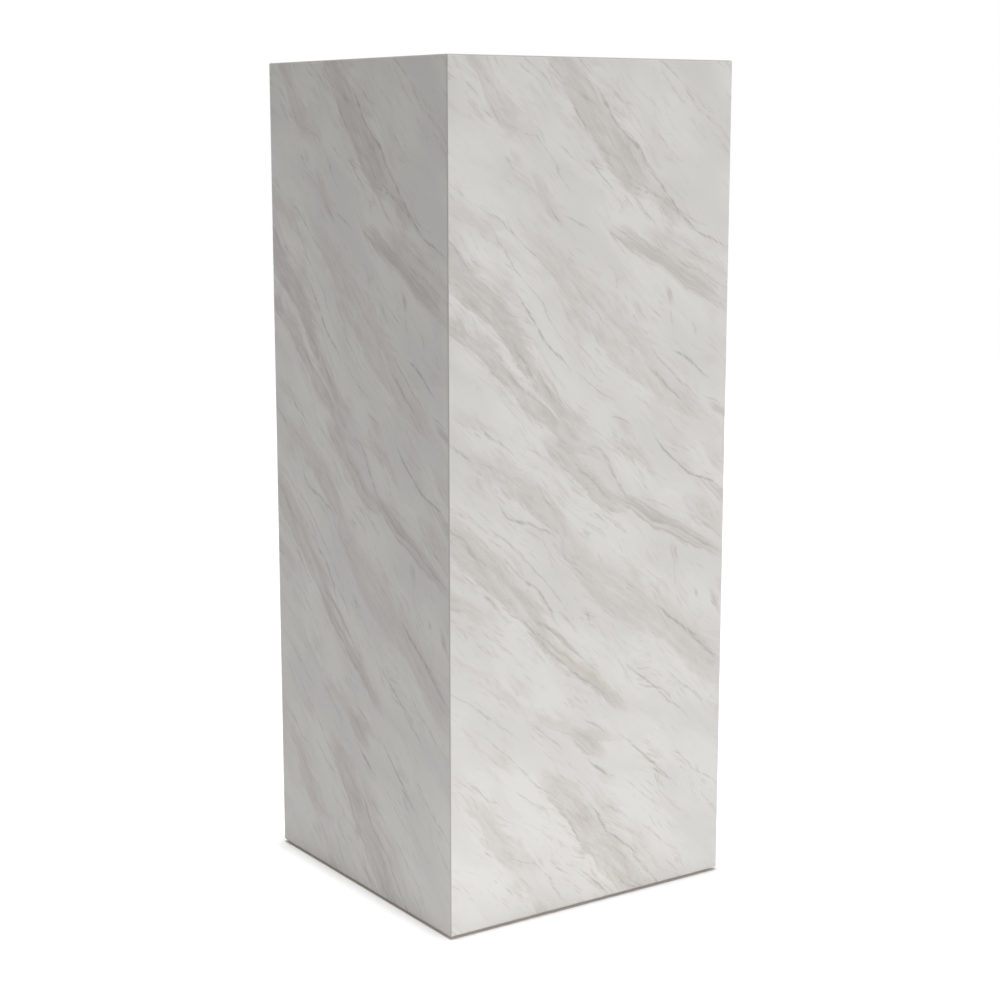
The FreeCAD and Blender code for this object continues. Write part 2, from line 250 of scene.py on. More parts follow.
class Bench:
    """A node tree that is written one node at a time."""

    def __init__(self, tree: NodeTree) -> None:
        """Keeps the tree.

        Args:
            tree: The tree that nodes are added to.
        """
        self.tree = tree

    def add(
        self, kind: str, settings: Optional[Settings] = None, sockets: Optional[Sockets] = None
    ) -> Node:
        """Adds a node of any type.

        Args:
            kind: The node's type.
            settings: Its settings by name. "stops" holds a ramp's stops, each a position and a colour.
            sockets: The value or the link of each input, by the input's name or number.

        Returns:
            The node.
        """
        node = self.tree.nodes.new(kind)
        for name, value in (settings or {}).items():
            if name == "stops":
                self._lay_stops(node.color_ramp, value)
            elif name == "ramp_interpolation":
                node.color_ramp.interpolation = value
            else:
                setattr(node, name, value)
        for key, value in (sockets or {}).items():
            if isinstance(value, Wire):
                value = value.socket
            if isinstance(value, NodeSocket):
                self.tree.links.new(value, node.inputs[key])
            else:
                node.inputs[key].default_value = value
        return node

    @staticmethod
    def _lay_stops(ramp: bpy.types.ColorRamp, stops: Sequence[Tuple[float, Colour]]) -> None:
        """Gives a ramp its stops.

        Args:
            ramp: The ramp.
            stops: Each stop's position and colour, in order of position.
        """
        while len(ramp.elements) > 1:
            ramp.elements.remove(ramp.elements[-1])
        ramp.elements[0].position = stops[0][0]
        ramp.elements[0].color = stops[0][1]
        for position, colour in stops[1:]:
            ramp.elements.new(position).color = colour

    def wire(self, node: Node, output: Union[int, str] = 0) -> Wire:
        """The node's output as a value for arithmetic."""
        return Wire(self, node.outputs[output])

    def vector(self, x: Any, y: Any, z: Any = 0.0) -> NodeSocket:
        """Joins three values to a vector."""
        return self.add("ShaderNodeCombineXYZ", None, {0: x, 1: y, 2: z}).outputs[0]

    def split(self, vector: NodeSocket) -> Tuple[Wire, Wire, Wire]:
        """Takes a vector apart.

        Args:
            vector: The vector's socket.

        Returns:
            Its three values.
        """
        node = self.add("ShaderNodeSeparateXYZ", None, {0: vector})
        return self.wire(node, 0), self.wire(node, 1), self.wire(node, 2)

    def place(self, scale: Sequence[float] = UNSTRETCHED) -> NodeSocket:
        """The point's place on the piece in millimetres, times a scale along each axis."""
        found = self.add("ShaderNodeTexCoord").outputs["Object"]
        return self.stretched(found, [share / MM for share in scale])

    def stretched(
        self, vector: NodeSocket, scale: Sequence[float], shift: Sequence[float] = (0.0, 0.0, 0.0)
    ) -> NodeSocket:
        """Stretches and shifts a place.

        Args:
            vector: The place.
            scale: By how much, along each axis.
            shift: How far it is moved afterwards.

        Returns:
            The new place.
        """
        node = self.add("ShaderNodeMapping", {"vector_type": "POINT"}, {0: vector, 1: shift, 3: scale})
        return node.outputs[0]

    def noise(
        self,
        vector: NodeSocket,
        scale: float,
        detail: float = 2.0,
        roughness: float = 0.5,
        flat: bool = False,
    ) -> Wire:
        """Cloudy noise from 0 to 1, about 0.5 on the whole.

        Args:
            vector: Where it is read.
            scale: How fine it is.
            detail: How many finer layers it has.
            roughness: How strong those are.
            flat: Whether it is read in two dimensions.

        Returns:
            The noise.
        """
        settings = {"noise_dimensions": "2D" if flat else "3D"}
        sockets = {"Vector": vector, "Scale": scale, "Detail": detail, "Roughness": roughness}
        return self.wire(self.add("ShaderNodeTexNoise", settings, sockets))

    def blended(self, share: Any, first: Any, second: Any) -> NodeSocket:
        """Mixes two colours.

        Args:
            share: How much of the second there is.
            first: The first colour or its socket.
            second: The second colour or its socket.

        Returns:
            The mixed colour.
        """
        settings = {"data_type": "RGBA", "blend_type": "MIX", "clamp_factor": True}
        return self.add("ShaderNodeMix", settings, {0: share, 6: first, 7: second}).outputs[2]

    def layered(self, ground: Any, *layers: Tuple[Any, Any]) -> Any:
        """Lays colours over one another.

        Args:
            ground: The lowest colour or its socket.
            layers: The others from the lowest up, each as how much of it there is and the colour.

        Returns:
            The colour that shows.
        """
        for share, laid in layers:
            ground = self.blended(share, ground, laid)
        return ground

    def bump(self, height: Any, strength: float, depth: float) -> NodeSocket:
        """Makes a relief from a height.

        Args:
            height: The height, from 0 to 1.
            strength: How strong the relief is.
            depth: How deep it is in millimetres.

        Returns:
            The normal.
        """
        sockets = {"Strength": strength, "Distance": depth * MM, "Height": height}
        return self.add("ShaderNodeBump", None, sockets).outputs[0]


def colour(red: float, green: float, blue: float) -> Colour:
    """A colour from its 0 to 255 screen values.

    Args:
        red: Red.
        green: Green.
        blue: Blue.

    Returns:
        The colour in linear light, opaque.
    """

    def linear(value: float) -> float:
        """One channel in linear light, by the standard curve of screens."""
        share = value / 255.0
        return share / 12.92 if share <= 0.04045 else ((share + 0.055) / 1.055) ** 2.4

    return linear(red), linear(green), linear(blue), 1.0


class Coat(Bench):
    """The node tree of a new material."""

    def __init__(self, name: str) -> None:
        """Starts the material.

        Args:
            name: The material's name.
        """
        self.material = bpy.data.materials.new(name)
        self.material.use_nodes = True
        super().__init__(self.material.node_tree)
        self.tree.nodes.clear()

    def finished(self, sockets: Sockets) -> Material:
        """Ends the tree in a Principled shader.

        Args:
            sockets: The value or the link of each of the shader's inputs, by name.

        Returns:
            The material.
        """
        shader = self.add("ShaderNodeBsdfPrincipled", None, sockets)
        self.add("ShaderNodeOutputMaterial", None, {"Surface": shader.outputs[0]})
        return self.material


def give_sockets(tree: NodeTree, way: str, kind: str, *names: str) -> None:
    """Gives a node group its inputs or outputs of one kind.

    Args:
        tree: The node group.
        way: INPUT or OUTPUT.
        kind: What they carry, such as Float or Vector.
        names: Their names.
    """
    for name in names:
        tree.interface.new_socket(name, in_out=way, socket_type=f"NodeSocket{kind}")


# ---------------------------------------------------------------- the marble print


class Pigment(Labelled):
    """What a stroke of the print is laid down in.

    Each has its name, the share of its half width that is at full strength, and its spread.
    """

    WASH = ("wash", 0.3, 1.4)
    SMOKE = ("smoke", 0.25, 1.3)
    PALE = ("pale", 0.1, 1.2)
    OCHRE = ("ochre", 0.0, 1.1)
    HAIR = ("hair", 0.1, 1.1)

    @property
    def core(self) -> float:
        """The share of the half width that is at full strength."""
        return self.value[1]

    @property
    def spread(self) -> float:
        """How much further than its half width a stroke bleeds."""
        return self.value[2]

    @property
    def lined(self) -> bool:
        """Whether it is broad enough for lines that run along the stroke."""
        return self in (Pigment.WASH, Pigment.SMOKE)


@dataclass(frozen=True)
class Stroke:
    """One stroke of the print, in millimetres to the right of the face's left edge and down from its top.

    Attributes:
        pigment: What it is laid down in.
        strength: How strong it is, from 0 to 1.
        path: Its points from upper left to lower right, each with its half width. Both ends fade out.
    """

    pigment: Pigment
    strength: float
    path: Tuple[Point, ...]

    def lowered(self, drop: float) -> "Stroke":
        """The same stroke further down the face."""
        path = tuple((right, down + drop, half) for right, down, half in self.path)
        return Stroke(self.pigment, self.strength, path)


def stroke(pigment: Pigment, half: float, strength: float, *points: Point) -> Stroke:
    """Writes a stroke down.

    Args:
        pigment: What it is laid down in.
        half: Its half width in millimetres where a point gives none.
        strength: How strong it is.
        points: Its points, each right, down and, where it differs, the half width.

    Returns:
        The stroke.
    """
    path = tuple((p[0], p[1], p[2] if len(p) > 2 else half) for p in points)
    if len(path) == 2:
        middle = tuple((a + b) / 2 for a, b in zip(*path))
        path = (path[0], middle, path[1])
    return Stroke(pigment, strength, path)


wash = partial(stroke, Pigment.WASH)  # a broad pinkish beige stroke
smoke = partial(stroke, Pigment.SMOKE)  # a grey brown stroke with soft edges
pale = partial(stroke, Pigment.PALE)  # a whiter streak
ochre = partial(stroke, Pigment.OCHRE)  # a faint yellowish stain
hair = partial(stroke, Pigment.HAIR)  # a thin dark grey line

PRINT_REPEAT = 643.0  # after this far down, the print begins again
PRINT_REPEATED_PART = 125.0  # strokes that begin above this show again at the bottom

STROKES: Tuple[Stroke, ...] = (
    # the main vein at the upper right
    wash(10, 0.8, (93, -20, 8), (112, 0, 9), (128, 17, 10), (150, 44, 12), (176, 76, 14), (198, 102, 12),
        (218, 122, 5)),
    hair(1.8, 0.7, (148, 17), (160, 35), (172, 53), (187, 66), (200, 77), (208, 90), (226, 107)),
    hair(2.6, 0.5, (176, 66), (188, 76), (197, 88), (204, 98)),
    hair(1.5, 0.6, (124, 28), (133, 45), (140, 56), (148, 67)),
    hair(2.6, 0.55, (128, 24), (143, 34), (157, 42)),
    hair(1.5, 0.35, (135, 12), (148, 26), (160, 44)),
    hair(1.6, 0.85, (203, 89), (225, 108), (243, 129), (260, 145), (275, 153), (290, 160), (312, 168)),
    hair(1.3, 0.6, (178, 99), (200, 112), (225, 121), (240, 130), (255, 140), (268, 149), (283, 157)),
    hair(1.3, 0.55, (201, 123), (210, 135), (224, 147)),
    hair(1.4, 0.4, (176, 84), (186, 96), (197, 107)),
    ochre(6, 0.7, (174, 58), (183, 68), (192, 80)),
    ochre(7, 0.8, (176, 92), (187, 101), (202, 113)),
    ochre(7, 0.5, (214, 117), (230, 126), (247, 137)),
    wash(7, 0.35, (208, 108), (240, 132), (280, 152)),
    wash(10, 0.3, (198, 44), (214, 70), (226, 104)),
    wash(11, 0.4, (96, -16), (124, 4), (150, 26)),
    wash(8, 0.45, (152, 14), (168, 30), (182, 52)),
    # upper left
    wash(9, 0.6, (12, -14, 6), (24, 0, 6), (36, 12, 7), (48, 32, 9), (64, 56, 8), (78, 74, 4)),
    hair(1.4, 0.5, (26, 3), (40, 20), (52, 30)),
    hair(2.2, 0.7, (33, 42), (40, 48), (48, 54)),
    hair(1.1, 0.4, (68, -8), (75, 0), (88, 10), (100, 18), (117, 42)),
    wash(6, 0.4, (55, 46), (78, 62), (98, 78)),
    hair(1.2, 0.4, (52, 53), (75, 62), (90, 66), (100, 78), (110, 90), (122, 108), (132, 117)),
    hair(2.2, 0.5, (88, 58), (96, 66), (102, 75)),
    hair(1.9, 0.55, (103, 82), (113, 95), (124, 111)),
    hair(1.8, 0.75, (56, 81), (62, 87), (68, 94)),
    wash(4, 0.4, (62, 78), (70, 85), (77, 94)),
    hair(1.7, 0.5, (107, 68), (120, 79), (134, 89)),
    hair(1.8, 0.65, (140, 81), (149, 90), (157, 98), (166, 106), (175, 116)),
    hair(1.8, 0.6, (166, 23), (175, 30), (183, 36), (196, 41)),
    wash(5, 0.3, (160, 14), (176, 30), (194, 44)),
    hair(1.4, 0.55, (212, -6), (228, 5), (240, 13), (259, 28)),
    hair(1.3, 0.4, (291, 21), (306, 35), (314, 42)),
    hair(1.3, 0.35, (294, 48), (303, 57), (312, 66)),
    # left, below it
    wash(5, 0.65, (84, 92), (97, 112), (108, 130), (122, 144)),
    hair(2.3, 0.7, (102, 124), (110, 134), (120, 145)),
    hair(1.6, 0.55, (117, 131), (128, 137), (140, 142), (154, 151)),
    hair(1.5, 0.5, (-10, 102), (2, 112), (12, 121)),
    wash(6, 0.4, (-12, 116), (15, 130), (45, 140), (66, 140)),
    hair(1.4, 0.5, (18, 119), (40, 128), (55, 136), (65, 146), (76, 157), (95, 170), (108, 180)),
    hair(1.2, 0.5, (42, 145), (58, 163), (75, 184), (95, 205), (107, 226), (129, 249)),
    wash(4, 0.3, (0, 124), (40, 146), (72, 168), (98, 190)),
    # the grey band at the right
    smoke(7, 0.75, (166, 141, 4), (181, 149), (195, 157), (212, 168), (232, 179), (252, 190), (274, 202),
        (318, 228)),
    smoke(4, 0.7, (186, 149), (202, 160), (216, 169), (232, 178), (252, 188), (266, 197)),
    wash(6, 0.4, (196, 100), (220, 118), (246, 134), (272, 148)),
    hair(1.6, 0.5, (186, 96), (205, 110), (226, 122), (244, 136)),
    hair(1.4, 0.5, (214, 112), (236, 124), (262, 139), (290, 152)),
    hair(1.5, 0.45, (226, 164), (250, 178), (278, 190), (310, 206)),
    hair(1.3, 0.4, (240, 158), (264, 170), (292, 186)),
    hair(2.0, 0.55, (196, 150), (212, 161), (226, 169), (244, 176)),
    hair(1.6, 0.4, (168, 148), (181, 163), (194, 174)),
    wash(15, 0.6, (200, 142, 5), (228, 158, 9), (262, 175, 13), (318, 202, 15)),
    hair(1.8, 0.5, (262, 184), (285, 198), (314, 217)),
    wash(6, 0.35, (250, 150), (280, 160), (316, 176)),
    # the upper band from the left edge
    wash(10, 0.95, (-20, 140), (0, 165), (12, 178, 11), (24, 192, 11), (45, 208, 11), (65, 231, 9),
        (85, 264, 7), (100, 285, 6), (118, 300, 5), (135, 312, 5), (155, 329, 4)),
    hair(1.8, 0.55, (-12, 137), (0, 150), (12, 163), (31, 189)),
    hair(1.2, 0.35, (26, 183), (45, 195), (60, 208), (72, 225)),
    hair(2.2, 0.7, (60, 229), (75, 252), (83, 265), (94, 280)),
    hair(2.0, 0.55, (90, 265), (102, 280), (111, 291), (123, 303)),
    hair(1.4, 0.4, (2, 180), (25, 205), (52, 227)),
    wash(6, 0.8, (-20, 208), (0, 221), (20, 232), (38, 245), (58, 265), (76, 285), (95, 301), (112, 314),
        (128, 326), (155, 349, 4)),
    hair(1.6, 0.5, (38, 241), (60, 262), (78, 281), (97, 297), (118, 313)),
    hair(1.3, 0.45, (-6, 218), (25, 233), (50, 252)),
    # the band through the middle
    wash(7, 0.45, (40, 172), (58, 194), (80, 220)),
    wash(9, 0.52, (76, 144, 7), (100, 162, 10), (120, 180, 10), (135, 198, 12), (150, 209, 16),
        (166, 221, 19), (190, 246, 19), (213, 268, 14), (235, 290, 11), (258, 306, 9), (292, 327, 6)),
    hair(1.6, 0.65, (202, 258), (225, 280), (250, 300), (266, 316)),
    hair(1.4, 0.5, (210, 245), (224, 260), (235, 270), (255, 288), (284, 315)),
    smoke(4, 0.35, (190, 205), (200, 216), (209, 231)),
    hair(1.1, 0.3, (120, 172), (150, 204), (185, 236), (215, 262)),
    hair(1.1, 0.3, (105, 166), (140, 205), (172, 234)),
    # short marks that run more steeply
    smoke(4.5, 0.75, (232, 196), (238, 205), (241, 216)),
    hair(1.7, 0.45, (237, 212), (239, 226), (244, 248)),
    hair(2.2, 0.35, (173, 179), (179, 199)),
    hair(2.4, 0.45, (263, 232), (269, 248)),
    smoke(4.5, 0.75, (240, 432), (246, 442), (250, 457)),
    hair(1.7, 0.5, (246, 452), (247, 466), (250, 480)),
    hair(1.9, 0.4, (181, 422), (187, 438)),
    hair(2.2, 0.65, (270, 477), (279, 494)),
    smoke(3.6, 0.85, (289, 482), (297, 495), (306, 510)),
    # a fine dark vein
    hair(1.6, 0.95, (64, 190), (78, 210), (88, 222), (93, 232), (99, 240), (105, 246), (113, 253),
        (120, 259), (130, 268)),
    hair(1.3, 0.5, (124, 262), (140, 272), (156, 286)),
    # the right side of the middle
    hair(1.9, 0.9, (236, 254), (250, 260), (262, 266), (269, 272), (276, 279), (287, 286)),
    wash(3, 0.35, (270, 261), (282, 267), (300, 276)),
    smoke(4, 0.6, (282, 304), (293, 311), (301, 317), (314, 327)),
    hair(1.5, 0.6, (272, 298), (290, 304), (308, 313)),
    wash(8, 0.55, (168, 308), (184, 322), (204, 340)),
    hair(1.9, 0.8, (168, 310), (182, 313), (197, 322)),
    wash(5, 0.6, (164, 324), (185, 338), (205, 350), (230, 372)),
    hair(1.3, 0.4, (168, 326), (185, 337), (202, 350)),
    hair(1.8, 0.95, (219, 329), (227, 338), (231, 346), (240, 354), (252, 362), (265, 371), (278, 375),
        (292, 381), (316, 402)),
    wash(6, 0.3, (226, 322), (250, 338), (270, 350)),
    wash(6, 0.3, (240, 347), (255, 362), (272, 379)),
    smoke(4, 0.6, (276, 371), (292, 388), (303, 400), (316, 411)),
    wash(8, 0.45, (278, 342), (298, 360), (316, 378)),
    # the band below the middle
    wash(7, 0.8, (92, 319, 5), (110, 331, 7), (122, 339, 8), (135, 352, 8), (150, 367, 8), (165, 382, 7),
        (178, 391, 6), (194, 399, 5)),
    smoke(7, 0.8, (175, 381, 4), (195, 390, 6), (210, 400, 7), (230, 411, 8), (255, 423, 8),
        (275, 435, 7), (318, 459, 6)),
    smoke(4, 0.7, (197, 394), (215, 404), (232, 413), (258, 424)),
    hair(2.2, 0.5, (204, 399), (222, 409), (246, 419)),
    hair(2.6, 0.55, (148, 334), (160, 340), (168, 350), (175, 362), (184, 375), (198, 392)),
    hair(1.8, 0.45, (200, 385), (220, 393), (235, 398), (255, 408)),
    wash(8, 0.5, (254, 389), (275, 402), (290, 415), (318, 441)),
    hair(1.6, 0.45, (248, 400), (270, 412), (290, 424), (314, 441)),
    hair(1.6, 0.5, (260, 426), (285, 440), (312, 453)),
    hair(1.5, 0.4, (118, 336), (140, 355), (160, 375), (178, 391)),
    # the left side below the middle
    wash(4, 0.35, (-10, 283), (20, 302), (40, 312), (66, 326)),
    hair(1.7, 0.75, (28, 307), (38, 316), (47, 322), (58, 330), (72, 342)),
    hair(1.9, 0.65, (-10, 310), (0, 319), (8, 326), (16, 333), (28, 343)),
    wash(9, 0.65, (12, 330, 5), (35, 342, 8), (50, 350, 9), (65, 358, 9), (90, 376, 10), (105, 390, 9),
        (118, 405, 7), (136, 427, 4)),
    hair(1.9, 0.75, (48, 373), (55, 384), (60, 391), (68, 393), (85, 399), (100, 407), (118, 418)),
    ochre(6, 0.7, (48, 376), (57, 386), (68, 397)),
    hair(1.3, 0.4, (16, 336), (45, 345), (73, 365)),
    hair(1.2, 0.35, (82, 350), (100, 378), (120, 402)),
    wash(5, 0.35, (2, 342), (30, 360), (54, 381)),
    # the second band through the middle
    wash(9, 0.52, (108, 392, 4), (118, 405, 6), (130, 424, 9), (150, 447, 12), (168, 460, 16),
        (185, 471, 19), (203, 483, 19), (229, 501, 15), (250, 517, 12), (280, 541, 11), (320, 569, 10)),
    wash(8, 0.35, (236, 517), (275, 550), (320, 588)),
    hair(1.9, 0.8, (222, 487), (236, 497), (245, 505), (265, 520), (285, 539), (316, 566)),
    hair(1.6, 0.5, (236, 497), (258, 514), (282, 532), (306, 553)),
    hair(1.2, 0.4, (108, 408), (125, 435), (145, 455), (168, 473)),
    smoke(3.5, 0.35, (191, 446), (200, 456), (209, 469)),
    hair(1.2, 0.4, (166, 441), (200, 470), (233, 498)),
    ochre(8, 0.35, (188, 443), (200, 457), (212, 473)),
    # the lower band from the left edge
    wash(10, 0.8, (-20, 372, 9), (0, 395, 11), (20, 415, 12), (38, 431, 12), (58, 450, 11), (76, 469, 10),
        (92, 490, 8), (105, 510, 6), (126, 527, 5), (148, 545, 5), (165, 560, 5), (180, 572, 4),
        (198, 590, 3)),
    ochre(5, 0.5, (92, 497), (115, 518), (140, 538), (160, 553), (182, 570)),
    wash(6, 0.6, (-18, 438), (0, 455), (15, 462), (30, 471), (56, 490)),
    hair(1.8, 0.5, (-10, 386), (2, 396), (12, 404), (30, 425), (50, 440)),
    hair(1.6, 0.55, (5, 427), (20, 440), (35, 453)),
    hair(2.0, 0.6, (28, 450), (40, 460), (50, 472)),
    hair(2.2, 0.65, (80, 480), (100, 492), (120, 506), (135, 520), (154, 540)),
    smoke(4.5, 0.5, (104, 491), (118, 505), (131, 524)),
    hair(1.2, 0.5, (41, 396), (60, 412), (80, 430), (105, 455), (118, 472), (134, 495)),
    hair(1.9, 0.9, (70, 439), (80, 450), (90, 457), (98, 465), (104, 475), (114, 490)),
    hair(2.0, 0.5, (144, 481), (152, 499)),
    hair(2.0, 0.45, (161, 503), (168, 510), (175, 519)),
    hair(1.6, 0.4, (173, 498), (179, 509)),
    hair(1.5, 0.5, (83, 483), (97, 500), (110, 513), (132, 532)),
    hair(1.5, 0.55, (66, 471), (85, 492), (100, 510), (120, 527), (140, 545), (160, 560), (184, 578)),
    wash(4, 0.3, (16, 462), (45, 485), (64, 503)),
    # whiter streaks beside the bands
    pale(7, 0.7, (-10, 186), (12, 202), (34, 220), (52, 238), (72, 262), (92, 290)),
    pale(3, 0.8, (70, 258), (84, 276), (100, 293), (118, 308)),
    pale(9, 0.5, (-10, 236), (18, 252), (40, 272), (66, 300)),
    pale(8, 0.5, (-8, 128), (22, 152), (44, 176), (66, 204)),
    pale(6, 0.6, (84, 478), (100, 497), (118, 514), (140, 534)),
    pale(8, 0.5, (-10, 404), (14, 426), (34, 446), (60, 468)),
    pale(9, 0.4, (120, 260), (160, 300), (200, 322)),
    pale(9, 0.4, (150, 400), (176, 428), (214, 458)),
    pale(8, 0.45, (-10, 500), (20, 520), (50, 545)),
    pale(8, 0.4, (20, 262), (60, 300), (92, 330)),
    pale(6, 0.5, (205, 378), (240, 386), (276, 402)),
    # below that, at the left
    wash(4, 0.4, (-12, 496), (10, 513), (35, 530), (55, 548), (70, 560), (92, 575)),
    wash(7, 0.45, (58, 526), (75, 543), (94, 560)),
    hair(1.2, 0.45, (-10, 528), (0, 538), (12, 545), (25, 553), (40, 566), (55, 578), (79, 596)),
    hair(1.8, 0.55, (43, 490), (54, 502)),
    hair(1.7, 0.5, (12, 484), (23, 495)),
    hair(1.7, 0.65, (186, 536), (205, 550), (225, 566), (240, 580), (252, 590), (273, 610)),
    hair(1.5, 0.5, (236, 551), (250, 563), (262, 571), (278, 585), (294, 604)),
    wash(5, 0.25, (186, 528), (215, 552), (245, 580)),
    hair(1.6, 0.5, (82, 574), (98, 589), (112, 600), (124, 614)),
    wash(4, 0.45, (82, 567), (100, 578), (120, 588), (140, 597), (165, 604), (197, 613)),
    smoke(8, 0.65, (127, 589), (143, 603), (155, 612), (172, 626)),
    hair(1.8, 0.6, (141, 582), (152, 590), (162, 597), (175, 608)),
    hair(2.5, 0.85, (146, 621), (158, 631), (168, 638), (182, 649)),
    wash(4, 0.4, (154, 634), (168, 644), (184, 654)),
    hair(1.6, 0.65, (181, 601), (193, 612), (205, 622), (215, 632), (228, 643), (242, 657), (262, 674)),
    ochre(3, 0.8, (200, 617), (220, 636), (243, 658)),
    hair(1.3, 0.45, (244, 624), (258, 638), (275, 655), (290, 665), (314, 680)),
    hair(1.3, 0.5, (26, 573), (45, 590), (60, 604), (78, 622), (95, 640), (130, 665)),
    wash(6, 0.55, (34, 588), (52, 606), (70, 626)),
    hair(1.2, 0.5, (10, 616), (25, 627), (40, 640), (65, 660)),
    wash(4, 0.45, (0, 632), (25, 650), (42, 662), (70, 686)),
    hair(1.1, 0.4, (66, 632), (85, 652), (112, 680)),
)


STROKE_READINGS = ("Amount", "Edge", "Near", "Offset")  # what a pigment's node group tells
NO_WEIGHT = 0.0001  # added to a divisor, so that it is never nothing


@dataclass(frozen=True)
class PrintedMarble:
    """The printed marble pattern of the laminate, one node group that every face reads at its own place.

    Attributes:
        lean: The angle in degrees by which the veins run down to the right.
        low_along: Where the strokes' run along the veins is first told, in millimetres.
        span_along: How much of that run is told.
        low_across: The same across the veins.
        span_across: How much of it is told.
        most_stops: How many stops one lane of strokes may have.
        guard: How far beyond a stroke's end its guard stands, as a share of the run.
        tip_width: A stroke's width at its tips, as a share of its full width.
        lower_fade: Where a broad stroke ends below and where it is full, in half widths from its middle.
        upper_end: Where it ends above.
        rim: Where the line along its lower edge runs.
        rim_fade: How far from there the line ends, and how near it is full.
        near_fade: How far from the middle a stroke's neighbourhood ends, and how near it is full.
        nearest: The power that lets the nearest stroke outweigh the others.
        drift: How far the noises wander from the veins' direction, in millimetres.
        sway: How far the strokes themselves wander.
        fray: How far the edges of the broad strokes fray.
        hair_fray: The same for the thin lines.
        fibre_fray: The same for the fibres in the broad strokes.
        gloss: The roughness where the surface is smoothest and where it is roughest.
        ground: The colour of the open ground.
        ground_pale: Its paler clouds.
        ground_white: The white in the gaps beside the bands, and the pale streaks.
        ground_grey: Its greyer clouds.
        blush: The tint of the ground near the bands.
        wash: The colour of the pinkish beige bands.
        smoke: The colour of the grey brown bands, and of the lines in the others.
        ochre: The colour of the yellowish stains.
        hair: The colour of the thin lines.
    """

    lean: float = 42.0
    low_along: float = -60.0
    span_along: float = 860.0
    low_across: float = -260.0
    span_across: float = 900.0
    most_stops: int = 32
    guard: float = 0.0042
    tip_width: float = 0.45
    lower_fade: Pair = (1.0, 0.72)
    upper_end: float = -1.2
    rim: float = 0.84
    rim_fade: Pair = (0.2, 0.03)
    near_fade: Pair = (3.0, 0.6)
    nearest: float = 4.0
    drift: float = 26.0
    sway: float = 6.0
    fray: float = 8.0
    hair_fray: float = 4.0
    fibre_fray: float = 2.0
    gloss: Pair = (0.36, 0.46)
    ground: Colour = colour(212, 210, 206)
    ground_pale: Colour = colour(217, 216, 212)
    ground_white: Colour = colour(228, 227, 223)
    ground_grey: Colour = colour(208, 206, 203)
    blush: Colour = colour(204, 198, 193)
    wash: Colour = colour(193, 186, 182)
    smoke: Colour = colour(181, 175, 169)
    ochre: Colour = colour(196, 187, 167)
    hair: Colour = colour(148, 144, 139)

    def leant(self, right: Value, down: Value) -> Tuple[Value, Value]:
        """A place on the face, told along and across the veins.

        Args:
            right: Millimetres from the face's left edge.
            down: Millimetres from the top.

        Returns:
            How far along and how far across it is, in millimetres.
        """
        lean = math.radians(self.lean)
        along = right * math.cos(lean) + down * math.sin(lean)
        across = down * math.cos(lean) - right * math.sin(lean)
        return along, across

    def shared(self, along: Value, across: Value) -> Tuple[Value, Value]:
        """The same place as shares of the spans."""
        return (along - self.low_along) / self.span_along, (across - self.low_across) / self.span_across

    def stops_of(self, one: Stroke) -> List[Tuple[float, Colour]]:
        """A stroke as stops of a ramp.

        Args:
            one: The stroke.

        Returns:
            For each of its points the place along the veins, and as a colour the place across, the
            half width and the strength there. A stop without strength stands guard beyond either end.
        """
        spread = one.pigment.spread / self.span_across
        places = sorted(
            self.shared(*self.leant(right, down)) + (half * spread,) for right, down, half in one.path
        )
        last = len(places) - 1
        stops = []
        for index, (along, across, half) in enumerate(places):
            tip = index in (0, last)
            width, strength = (half * self.tip_width, 0.0) if tip else (half, one.strength)
            stops.append((along, (across, width, strength, 1.0)))
        for end, inner, step in ((0, 1, -self.guard), (last, last - 1, self.guard)):
            slope = (places[end][1] - places[inner][1]) / (places[end][0] - places[inner][0])
            across = places[end][1] + step * slope
            stops.append((places[end][0] + step, (across, places[end][2] * self.tip_width, 0.0, 1.0)))
        return sorted(stops)

    def lanes(self, pigment: Pigment) -> List[List[Tuple[float, Colour]]]:
        """Puts the strokes of a pigment end to end, so that one ramp holds several.

        Args:
            pigment: Which strokes.

        Returns:
            The stops of each lane.
        """
        strokes = [s for s in STROKES if s.pigment is pigment]
        again = [s.lowered(PRINT_REPEAT) for s in strokes if s.path[0][1] < PRINT_REPEATED_PART]
        lanes: List[List[Tuple[float, Colour]]] = []
        for stops in sorted(self.stops_of(s) for s in strokes + again):
            ended = [lane for lane in lanes if lane[-1][0] + self.guard < stops[0][0]]
            free = [lane for lane in ended if len(lane) + len(stops) <= self.most_stops]
            if free:
                min(free, key=lambda lane: abs(lane[-1][1][0] - stops[0][1][0])).extend(stops)
            else:
                lanes.append(list(stops))
        return lanes

